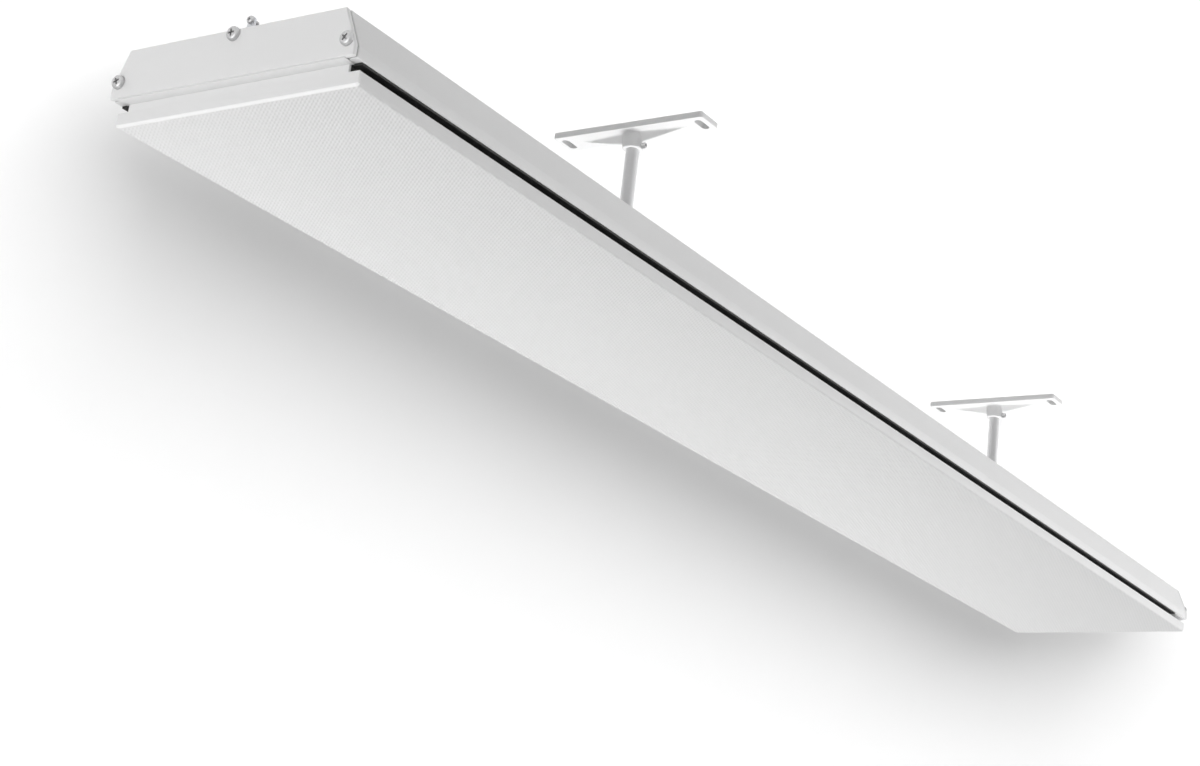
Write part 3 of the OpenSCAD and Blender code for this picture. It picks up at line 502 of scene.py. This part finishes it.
# Cap gaskets
# Thin sheets of grey silicone, cut a little inside the outline, so a fine joint line shows.
# They lie between each cap and the housing, and the gland has a seal of the same kind.


def dress(material, *names):
    """Gives CAD nodes whose shape is right their procedural finish."""
    for name in names:
        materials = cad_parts[name].data.materials
        materials.clear()
        materials.append(material)


rubber = finish("gasket_rubber", grey(0.48), grey(0.42), rough=0.7, spread=0.08, scale=1200,
                depth=0.00006)
dress(rubber, "near_cap_gasket", "far_cap_gasket", "gland_seal")

# Radiating panel
# A shallow aluminium channel with rounded lower edges. Its underside is finely embossed and baked
# with a matt white heat-proof coating. Ribs and cradles inside belong to the same extrusion.
panel_wall = 0.0025
panel_skin = 0.003
panel_edge_r = 0.0015
emboss_depth = 0.0001
# Share of the coating's colour left in the emboss's hollows, as painted shade
dimple_painted_shade = 0.925
# Dimples per metre along X and Y, for each of the two ways in which the rows run
emboss_rows = ((412, -340), (99, -376))


def panel_finish():
    """The panel's white coating, with the emboss on the faces that look down and painted shade in
    its hollows.
    """
    material = finish("panel_coating", grey(0.86), grey(0.83), rough=0.55, spread=0.06, scale=1400,
                      depth=0.00003)
    nodes, links = material.node_tree.nodes, material.node_tree.links
    place = nodes.new("ShaderNodeTexCoord")
    waves = []
    for rows_x, rows_y in emboss_rows:
        along = nodes.new("ShaderNodeVectorMath")
        along.operation = "DOT_PRODUCT"
        along.inputs[1].default_value = (2 * pi * rows_x, 2 * pi * rows_y, 0)
        links.new(place.outputs["Object"], along.inputs[0])
        waves.append(number(material.node_tree, "SINE", along.outputs["Value"]))
    dimple = number(material.node_tree, "MULTIPLY", number(material.node_tree, "ADD", *waves), 0.5)
    facing = nodes.new("ShaderNodeSeparateXYZ")
    links.new(place.outputs["Normal"], facing.inputs[0])
    below = number(material.node_tree, "LESS_THAN", facing.outputs["Z"], -0.7)
    relief = number(material.node_tree, "MULTIPLY", dimple, below)
    emboss = nodes.new("ShaderNodeBump")
    emboss.inputs["Distance"].default_value = emboss_depth
    links.new(relief, emboss.inputs["Height"])
    links.new(nodes["Bump"].outputs["Normal"], emboss.inputs["Normal"])
    links.new(emboss.outputs["Normal"], nodes["Principled BSDF"].inputs["Normal"])
    # The emboss's hollows are painted darker: painted shade standing in for the shading of the
    # relief.
    hollow_painted_shade = nodes.new("ShaderNodeMapRange")
    hollow_painted_shade.inputs["From Min"].default_value = -1
    hollow_painted_shade.inputs["To Min"].default_value = dimple_painted_shade
    links.new(relief, hollow_painted_shade.inputs["Value"])
    shade = nodes.new("ShaderNodeMix")
    shade.data_type = "RGBA"
    shade.blend_type = "MULTIPLY"
    shade.inputs["Factor"].default_value = 1
    colour_in = nodes["Principled BSDF"].inputs["Base Color"]
    links.new(colour_in.links[0].from_socket, shade.inputs["A"])
    links.new(hollow_painted_shade.outputs["Result"], shade.inputs["B"])
    links.new(shade.outputs["Result"], colour_in)
    return material


panel_coating = panel_finish()
low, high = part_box("radiating_panel")
panel = block("panel_channel", low, high)
pick(panel, "FACE", lambda f: f.normal.z > 0.9)
bpy.ops.mesh.inset(thickness=panel_wall)
extrude_up(-(high.z - low.z - panel_skin))
pick(panel, "EDGE", lambda e: middle(e).z < low.z + tiny
     and abs(middle(e).x - (low.x + high.x) / 2) < 0.1)
bpy.ops.mesh.bevel(offset=panel_edge_r, segments=6, profile=0.5)
bpy.ops.object.mode_set(mode="OBJECT")
soften(panel, width=0.00025, segments=2, angle=50)
hand_over(panel, "panel_channel", "heater", "panel_coating", panel_coating, "radiating_panel")

# A long lamp of the studio lights only the panel, from one side, so its far edge falls off.
panel_lamp = lamp("panel_lamp", (0.2, 0.45, -0.55), (0.2, 0, -0.145), size=2.3, power=3.5)
panel_lamp.data.shape = "RECTANGLE"
panel_lamp.data.size_y = 0.2
panel_lamp.light_linking.receiver_collection = None
chosen_for(panel_lamp, "receiver", "INCLUDE", panel)
chosen_for(low_lamp, "receiver", "EXCLUDE", panel)

# Panel end plates
# Flat T plates of coated sheet that close the panel's ends and the neck above it. A thin lip closes
# the joint under each cap, and at the far end small tabs end the black slot beside each rail.
rail_y = 0.0752
neck_y = 0.071
neck_top = -0.1316
rim_edge_r = 0.0014
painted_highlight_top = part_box("near_panel_end_plate")[0].z + rim_edge_r
painted_highlight_white = 0.97
lip_y = 0.0775
lip_low, lip_high = -0.1332, -0.1326
lip_reach = 0.0068
sheet_t = 0.0015
plate_depth = 0.008
tab_len = 0.024
tab_in = 0.0002
plate_coating = finish("plate_coating", grey(0.80), grey(0.78), rough=0.38, spread=0.05, scale=1400,
                       depth=0.00002)
# The lowest strip of each plate, along its rounded bottom edge, is painted near white: a painted
# highlight on that edge.
tree = plate_coating.node_tree
place = tree.nodes.new("ShaderNodeTexCoord")
height = tree.nodes.new("ShaderNodeSeparateXYZ")
edge = tree.nodes.new("ShaderNodeMix")
edge.data_type = "RGBA"
edge.inputs["B"].default_value = (*grey(painted_highlight_white), 1)
colour_in = tree.nodes["Principled BSDF"].inputs["Base Color"]
tree.links.new(place.outputs["Object"], height.inputs[0])
tree.links.new(number(tree, "LESS_THAN", height.outputs["Z"], painted_highlight_top), edge.inputs["Factor"])
tree.links.new(colour_in.links[0].from_socket, edge.inputs["A"])
tree.links.new(edge.outputs["Result"], colour_in)
for end, side in (("near", -1), ("far", 1)):
    low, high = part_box(end + "_panel_end_plate")
    panel_top = low.z + plate_depth
    near_x, far_x = (low.x, low.x + sheet_t) if side < 0 else (high.x - sheet_t, high.x)
    plate = block(end + "_plate", (near_x, low.y, low.z), (far_x, high.y, panel_top))
    pick(plate, "EDGE", lambda e: middle(e).z < low.z + tiny and abs(middle(e).y) > 0.05)
    bpy.ops.mesh.bevel(offset=panel_edge_r, segments=6, profile=0.5)
    pick(plate, "FACE", lambda f: f.normal.z > 0.9)
    extrude_up(0)
    bpy.ops.transform.resize(value=(1, rail_y / high.y, 1), center_override=(0, 0, panel_top))
    extrude_up(neck_top - panel_top)
    extrude_up(0)
    bpy.ops.transform.resize(value=(1, neck_y / rail_y, 1), center_override=(0, 0, neck_top))
    extrude_up(high.z - neck_top)
    bpy.ops.object.mode_set(mode="OBJECT")
    if side > 0:
        # Start and reach of each tab outwards from the rail, and its lowest and highest Z
        tabs = (
            (-0.0001, 0.0007, panel_top, -0.134),
            (-0.0001, 0.0074, -0.1343, -0.1338),
            (0.0069, 0.0074, -0.134, -0.1326))
        for across in (-1, 1):
            for start, reach, tab_low, tab_high in tabs:
                tab_y = sorted((across * (rail_y + start), across * (rail_y + reach)))
                cut(plate, block("tab", (far_x - tab_len, tab_y[0], tab_low),
                                 (far_x - tab_in, tab_y[1], tab_high)), "UNION")
    outer_x = low.x if side < 0 else high.x
    lip_x = sorted((outer_x - side * 0.001, outer_x + side * lip_reach))
    cut(plate, block("lip", (lip_x[0], -lip_y, lip_low), (lip_x[1], lip_y, lip_high)), "UNION")
    pick(plate, "EDGE", lambda e: all(
        abs(v.co.x - outer_x) < tiny and v.co.z < low.z + tiny for v in e.verts))
    bpy.ops.mesh.bevel(offset=rim_edge_r, segments=6, profile=0.5)
    bpy.ops.object.mode_set(mode="OBJECT")
    soften(plate, width=0.0002, segments=2, angle=50)
    hand_over(plate, end + "_end_plate", "heater", "panel_coating", plate_coating,
              end + "_panel_end_plate")

# Spacer rails
# Two black coated aluminium extrusions, screwed to the panel's ribs under the housing's lips.
# They are set in from the panel's sides, which makes the dark slot; their near-black colour is also
# painted shade for the deep shadow in that slot and under the lips.
black_coat = finish("black_coat", grey(0.018), grey(0.012), rough=0.65, spread=0.08, scale=900,
                    depth=0.00004)
dress(black_coat, "left_spacer_rail", "right_spacer_rail")

# Heating elements and what holds them
# Stainless sheathed rods lie in the panel's cradles under sheet clamps, with ceramic end seals.
# Clamps, track nuts and small screws are plated steel, bought in and screwed down.
sheath = finish("element_sheath", (0.34, 0.32, 0.30), (0.22, 0.20, 0.19), rough=0.42, spread=0.1,
                scale=700, depth=0.00003, metal=1.0)
dress(sheath, "left_element", "right_element")
ceramic = finish("white_ceramic", (0.82, 0.79, 0.72), (0.74, 0.71, 0.64), rough=0.7, spread=0.08,
                 scale=1800, depth=0.00004)
dress(ceramic, "element_seals", "terminal_block")
plated_steel = finish("plated_steel", (0.62, 0.63, 0.65), (0.50, 0.51, 0.54), rough=0.36,
                      spread=0.1, scale=1500, depth=0.00002, metal=1.0)
dress(plated_steel, "element_clamps", "near_track_nut", "far_track_nut")
dress(screw_steel, "rail_screws", "element_clamp_screws", "track_screws", "earth_stud",
      "earth_nut", "lug_rivet")

# Heat shield and fibre blanket
# A folded aluminium sheet holds the soft mineral fibre blanket down over the elements.
# The blanket is a loose pad with rounded edges and a slightly wavy surface.
mill_aluminium = finish("bare_aluminium", (0.70, 0.70, 0.71), (0.58, 0.58, 0.60), rough=0.38,
                        spread=0.08, scale=260, depth=0.00002, metal=1.0, stretch=(0.04, 1, 1))
dress(mill_aluminium, "heat_shield")
fibre = finish("mineral_fibre", (0.78, 0.74, 0.62), (0.60, 0.56, 0.45), rough=0.95, spread=0.04,
               scale=420, depth=0.0006)
low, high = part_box("insulation_blanket")
ease = Vector((0.001, 0.0008, 0.0006))
pad_round = 0.003
pad_swell = 0.0011
blanket = block("fibre_blanket", low + ease, high - ease)
pick(blanket, "EDGE", lambda e: abs((e.verts[0].co - e.verts[1].co).x) > 0.5)
bpy.ops.mesh.subdivide(number_cuts=120)
pick(blanket, "EDGE", lambda e: abs((e.verts[0].co - e.verts[1].co).y) > 0.05)
bpy.ops.mesh.subdivide(number_cuts=14)
bpy.ops.object.mode_set(mode="OBJECT")
soften(blanket, width=pad_round, segments=4, angle=60)
fluff = bpy.data.textures.new("fluff", "CLOUDS")
fluff.noise_scale = 0.03
modify(blanket, "DISPLACE", texture=fluff, texture_coords="LOCAL", strength=pad_swell,
       mid_level=1.0)
hand_over(blanket, "fibre_blanket", "heater", "mineral_fibre", fibre, "insulation_blanket",
          angle=60)

# Wiring
# Silicone sleeved leads, a brass clamped terminal block, an earth stud and a thermal cut-out.
# The leads join the block to the elements' pins and to the earth stud, all inside the housing.
brass = finish("terminal_brass", (0.72, 0.55, 0.24), (0.60, 0.44, 0.18), rough=0.3, spread=0.08,
               scale=1500, depth=0.00002, metal=1.0)
dress(brass, "terminal_screws")
grey_plastic = finish("grey_plastic", (0.20, 0.20, 0.21), (0.16, 0.16, 0.17), rough=0.5,
                      spread=0.06, scale=1100, depth=0.00005)
dress(grey_plastic, "thermal_cutout", "gland_body", "gland_lock_nut")
lead_shade = 0.85
for lead_name, slot, colour in (
        ("live_lead", "brown_lead", (0.26, 0.11, 0.05)),
        ("neutral_lead", "blue_lead", (0.06, 0.16, 0.45)),
        ("bridge_lead", "white_lead", (0.78, 0.78, 0.75)),
        ("earth_lead", "green_lead", (0.28, 0.46, 0.09))):
    sleeve = finish(slot, colour, tuple(c * lead_shade for c in colour), rough=0.5, spread=0.08,
                    scale=1600, depth=0.00003)
    dress(sleeve, lead_name)

# Cable gland
# A moulded grey gland on the housing's top: hexagonal body and a domed nut over a rubber seal.
# Its dome nut is turned with a rounded top, a hexagon at its foot, a throat and a threaded bore.
dome_r = 0.01
dome_round = 0.0045
hexagon_r = 0.0115
hexagon_h = 0.0058
throat_r = 0.00465
thread_r = 0.00805
thread_h = 0.0087
low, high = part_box("gland_dome_nut")
centre_x, centre_y = (low.x + high.x) / 2, (low.y + high.y) / 2
dome = drum("dome", (centre_x, centre_y, low.z), dome_r, high.z - low.z)
pick(dome, "EDGE", lambda e: all(v.co.z > high.z - tiny for v in e.verts))
bpy.ops.mesh.bevel(offset=dome_round, segments=6, profile=0.5)
bpy.ops.object.mode_set(mode="OBJECT")
hexagon = drum("hexagon", (centre_x, centre_y, low.z), hexagon_r, hexagon_h, 6)
soften(hexagon, width=0.0005, segments=2, angle=30)
cut(dome, hexagon, "UNION")
cut(dome, drum("throat", (centre_x, centre_y, low.z - 0.001), throat_r, 0.03))
cut(dome, drum("thread", (centre_x, centre_y, low.z - 0.001), thread_r, thread_h))
hand_over(dome, "gland_dome", "heater", "grey_plastic", grey_plastic, "gland_dome_nut")

# Mounting track
# An aluminium C channel screwed to the housing's top, open upwards, with moulded end plugs.
# It is extruded, so its wall is even and its surface is drawn lengthwise.
track_wall = 0.002
track_slot = 0.012
low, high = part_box("mounting_track")
track = block("track_channel", low, high)
for side in (-1, 1):
    pick(track, "FACE", all_of)
    bpy.ops.mesh.bisect(plane_co=(0, side * track_slot / 2, 0), plane_no=(0, 1, 0))
pick(track, "FACE", lambda f: abs(f.normal.x) > 0.9
     or (f.normal.z > 0.9 and abs(middle(f).y) < track_slot / 2))
bpy.ops.mesh.delete(type="FACE")
bpy.ops.object.mode_set(mode="OBJECT")
modify(track, "SOLIDIFY", thickness=track_wall, offset=-1, use_even_offset=True)
soften(track, width=0.0003, segments=2, angle=40)
hand_over(track, "track_channel", "heater", "bare_aluminium", mill_aluminium, "mounting_track")
dress(grey_plastic, "track_end_plugs")

# Bonding lug and its screw
# A small plated angle riveted to the top at the near end, with a pan head screw for bonding wire.
# The angle is bent from sheet, and the screw's head shows just above the near cap.
dress(plated_steel, "bonding_lug")
low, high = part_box("bonding_screw")
lug_face_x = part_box("bonding_lug")[0].x
bond = pan_head_screw("bond", head_d=high.y - low.y, head_h=0.0018, shank_d=0.0026,
                      shank_len=0.0048)
bond.data.transform(Matrix.Translation((lug_face_x, 0, (low.z + high.z) / 2)) @ lying(-1))
hand_over(bond, "bonding_pan_screw", "heater", "screw_steel", screw_steel, "bonding_screw")

# Data plate
# A bare metal plate with rounded corners and a rolled rim, bonded to the top. It carries no words.
# It is stamped from thin sheet, with its middle a little lower than its rim.
label_corner_r = 0.003
label_rim_w = 0.0016
label_step = 0.0003
label_sink = 0.00015


def upright(edge):
    """An edge that runs up and down."""
    return abs(edge.verts[0].co.z - edge.verts[1].co.z) > tiny


low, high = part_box("data_plate")
label = block("blank_plate", low, high)
pick(label, "EDGE", upright)
bpy.ops.mesh.bevel(offset=label_corner_r, segments=5)
pick(label, "FACE", lambda f: f.normal.z > 0.9)
bpy.ops.mesh.inset(thickness=label_rim_w)
bpy.ops.mesh.inset(thickness=label_step)
bpy.ops.transform.translate(value=(0, 0, -label_sink))
bpy.ops.object.mode_set(mode="OBJECT")
hand_over(label, "blank_plate", "heater", "bare_aluminium", mill_aluminium, "data_plate")

# Hangers
# Each hanger is a steel pole with a threaded foot, locked by a nut and a saddle plate to the track.
# The poles are painted a soft white, and their tops stand in the brackets' collars.
pole_paint = finish("pole_paint", (0.70, 0.70, 0.705), (0.66, 0.66, 0.665), rough=0.45, spread=0.03,
                    scale=300, depth=0.000002, stretch=(1, 1, 0.15))
rod_r = 0.0045
foot_inset = 0.0005
groove_half_h = 0.0016
groove_depth = 0.001
nut_round_r = 0.0074
nut_bore_r = 0.00405
saddle_corner_r = 0.004
saddle_bore_r = 0.0041
for end in ("near", "far"):
    body = end + "_hanger"
    low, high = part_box(end + "_pole")
    nut_low, nut_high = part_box(end + "_lock_nut")
    axis_x = (low.x + high.x) / 2
    screw_low, screw_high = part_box(end + "_clamp_screw")
    groove_z = (screw_low.z + screw_high.z) / 2
    groove_low, groove_high = groove_z - groove_half_h, groove_z + groove_half_h
    pole = drum(end + "_rod", (axis_x, 0, nut_high.z), rod_r, high.z - nut_high.z)
    pick(pole, "FACE", lambda f: f.normal.z < -0.9)
    bpy.ops.mesh.inset(thickness=foot_inset)
    extrude_up(low.z - nut_high.z)
    for z in (groove_low, groove_high):
        pick(pole, "FACE", all_of)
        bpy.ops.mesh.bisect(plane_co=(0, 0, z), plane_no=(0, 0, 1))
    pick(pole, "FACE", lambda f: abs(f.normal.z) < 0.5 and groove_low < middle(f).z < groove_high)
    bpy.ops.mesh.extrude_region_shrink_fatten(TRANSFORM_OT_shrink_fatten={"value": -groove_depth})
    bpy.ops.object.mode_set(mode="OBJECT")
    soften(pole, width=0.0002, segments=2, angle=60)
    hand_over(pole, end + "_rod", body, "pole_paint", pole_paint, end + "_pole")

    nut_r, nut_h = (nut_high.x - nut_low.x) / 2, nut_high.z - nut_low.z
    nut = drum(end + "_nut", (axis_x, 0, nut_low.z), nut_r, nut_h, 6)
    nut.data.transform(Matrix.Translation((axis_x, 0, 0)) @ Matrix.Rotation(radians(30), 4, "Z")
                       @ Matrix.Translation((-axis_x, 0, 0)))
    round_off = drum("round_off", (axis_x, 0, nut_low.z), nut_round_r, nut_h)
    soften(round_off, width=0.0011, segments=1, angle=60)
    cut(nut, round_off, "INTERSECT")
    cut(nut, drum("thread", (axis_x, 0, nut_low.z - 0.001), nut_bore_r, 0.02))
    soften(nut, width=0.0002, segments=2, angle=50)
    hand_over(nut, end + "_hexagon_nut", body, "plated_steel", plated_steel, end + "_lock_nut")

    low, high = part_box(end + "_saddle")
    saddle = block(end + "_saddle_plate", low, high)
    pick(saddle, "EDGE", upright)
    bpy.ops.mesh.bevel(offset=saddle_corner_r, segments=6)
    bpy.ops.object.mode_set(mode="OBJECT")
    cut(saddle, drum("hole", (axis_x, 0, low.z - 0.001), saddle_bore_r, 0.01))
    soften(saddle, width=0.0004, segments=2, angle=50)
    hand_over(saddle, end + "_saddle_plate", body, "plated_steel", plated_steel, end + "_saddle")

# Ceiling brackets
# One painted casting each: slotted plate, collar for the pole and two gussets that taper to points.
# The casting's edges are soft, and its slots and bores are machined after it is cast.
plate_t = 0.0044
plate_corner_r = 0.002
slot_y = 0.0515
slot_half = 0.00425
slot_r = 0.00275
collar_r = 0.007
bore_r = 0.0046
gusset_start = 0.003
gusset_half_w = 0.0055
gusset_reach = 0.042
gusset_drop = 0.0075
gusset_foot_share = 0.245
gusset_tip_share = 0.03
cast_paint = finish("cast_white_paint", grey(0.74), grey(0.71), rough=0.42, spread=0.06, scale=600,
                    depth=0.00008)


def gusset(across):
    """Wedge that is deep and wide at the collar and runs out to a point under the plate."""
    wedge = block("gusset", (-gusset_half_w, gusset_start, -plate_t - gusset_drop),
                  (gusset_half_w, gusset_reach, -plate_t / 2))
    pick(wedge, "VERT", lambda v: v.co.z < -plate_t - tiny)
    bpy.ops.transform.resize(value=(gusset_foot_share, 1, 1), center_override=(0, 0, 0))
    pick(wedge, "VERT", lambda v: v.co.y > gusset_reach - tiny)
    bpy.ops.transform.resize(value=(gusset_tip_share, 1, 1), center_override=(0, 0, 0))
    pick(wedge, "VERT", lambda v: v.co.y > gusset_reach - tiny and v.co.z < -plate_t)
    bpy.ops.transform.translate(value=(0, 0, gusset_drop + 0.0001))
    bpy.ops.object.mode_set(mode="OBJECT")
    wedge.data.transform(Matrix.Rotation(0 if across > 0 else pi, 4, "Z"))
    return wedge


low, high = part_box("near_ceiling_bracket")
half_w, half_l = (high.x - low.x) / 2, (high.y - low.y) / 2
casting = block("casting", (-half_w, -half_l, -plate_t), (half_w, half_l, 0))
pick(casting, "EDGE", upright)
bpy.ops.mesh.bevel(offset=plate_corner_r, segments=5)
bpy.ops.object.mode_set(mode="OBJECT")
cut(casting, drum("collar", (0, 0, low.z), collar_r, -low.z - 0.001, 64), "UNION")
cut(casting, gusset(1), "UNION")
cut(casting, gusset(-1), "UNION")
modify(casting, "REMESH", mode="VOXEL", voxel_size=0.0006, use_smooth_shade=True)
modify(casting, "SMOOTH", factor=0.5, iterations=3)
for side in (-1, 1):
    for reach in (-slot_half, slot_half):
        cut(casting, drum("slot_end", (reach, side * slot_y, -0.01), slot_r, 0.02))
    cut(casting, block("slot", (-slot_half, side * slot_y - slot_r, -0.01),
                       (slot_half, side * slot_y + slot_r, 0.01)))
cut(casting, drum("bore", (0, 0, low.z - 0.01), bore_r, -low.z + 0.01 - plate_t / 2))
for end in ("near", "far"):
    low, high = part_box(end + "_ceiling_bracket")
    place = Matrix.Translation(((low.x + high.x) / 2, 0, 0))
    bracket = copy_of(casting, end + "_casting", place)
    hand_over(bracket, end + "_casting", end + "_bracket", "cast_white_paint", cast_paint,
              end + "_ceiling_bracket", angle=45)
bpy.data.objects.remove(casting)

# Three lamps of the studio light only the castings or only the rods, as they are lit in the photo.
bracket_lamp = lamp("bracket_lamp", (0.2, 0, -1.7), (0, 0, 0), size=0.9, power=31)
rod_right_lamp = lamp("rod_right_lamp", (2.2, -2.0, -0.1), (0, 0, -0.1), size=1.6, power=60)
rod_left_lamp = lamp("rod_left_lamp", (-0.4, 3.3, -0.1), (0, 0, -0.1), size=1.6, power=55)
for light in (bracket_lamp, rod_right_lamp, rod_left_lamp):
    light.light_linking.receiver_collection = None
for end in ("near", "far"):
    bracket, rod = bpy.data.objects[end + "_casting"], bpy.data.objects[end + "_rod"]
    chosen_for(bracket_lamp, "receiver", "INCLUDE", bracket)
    chosen_for(bracket_lamp, "blocker", "INCLUDE", bracket)
    for rod_lamp in (rod_right_lamp, rod_left_lamp):
        chosen_for(rod_lamp, "receiver", "INCLUDE", rod)
        chosen_for(rod_lamp, "blocker", "INCLUDE", rod)
    chosen_for(near_end_lamp, "receiver", "EXCLUDE", bracket, rod)
    chosen_for(side_lamp, "receiver", "EXCLUDE", rod)
    chosen_for(shadow_lamp, "blocker", "EXCLUDE", bracket, rod)

# Clamp screws
# Small socket head screws low on the collars that hold the poles by their grooves.
# Each is turned steel with a six-sided socket, and its tip reaches into the groove.
clamp_head_r = 0.0019
clamp_head_h = 0.003
clamp_round = 0.0003
clamp_foot_inset = 0.0006
clamp_tip_len = 0.0022
socket_r = 0.00095
socket_floor = 0.0014
for end in ("near", "far"):
    low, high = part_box(end + "_clamp_screw")
    middle_x, middle_z = (low.x + high.x) / 2, (low.z + high.z) / 2
    head = drum("head", (0, 0, 0), clamp_head_r, clamp_head_h)
    pick(head, "EDGE", lambda e: all(v.co.z > clamp_head_h - tiny for v in e.verts))
    bpy.ops.mesh.bevel(offset=clamp_round, segments=3)
    pick(head, "FACE", lambda f: f.normal.z < -0.9)
    bpy.ops.mesh.inset(thickness=clamp_foot_inset)
    extrude_up(-clamp_tip_len)
    bpy.ops.object.mode_set(mode="OBJECT")
    cut(head, drum("socket", (0, 0, socket_floor), socket_r, 0.01, 6))
    head.data.transform(Matrix.Translation((middle_x, low.y + clamp_head_h, middle_z))
                        @ Matrix.Rotation(pi / 2, 4, "X"))
    hand_over(head, end + "_socket_screw", end + "_bracket", "screw_steel", screw_steel,
              end + "_clamp_screw")
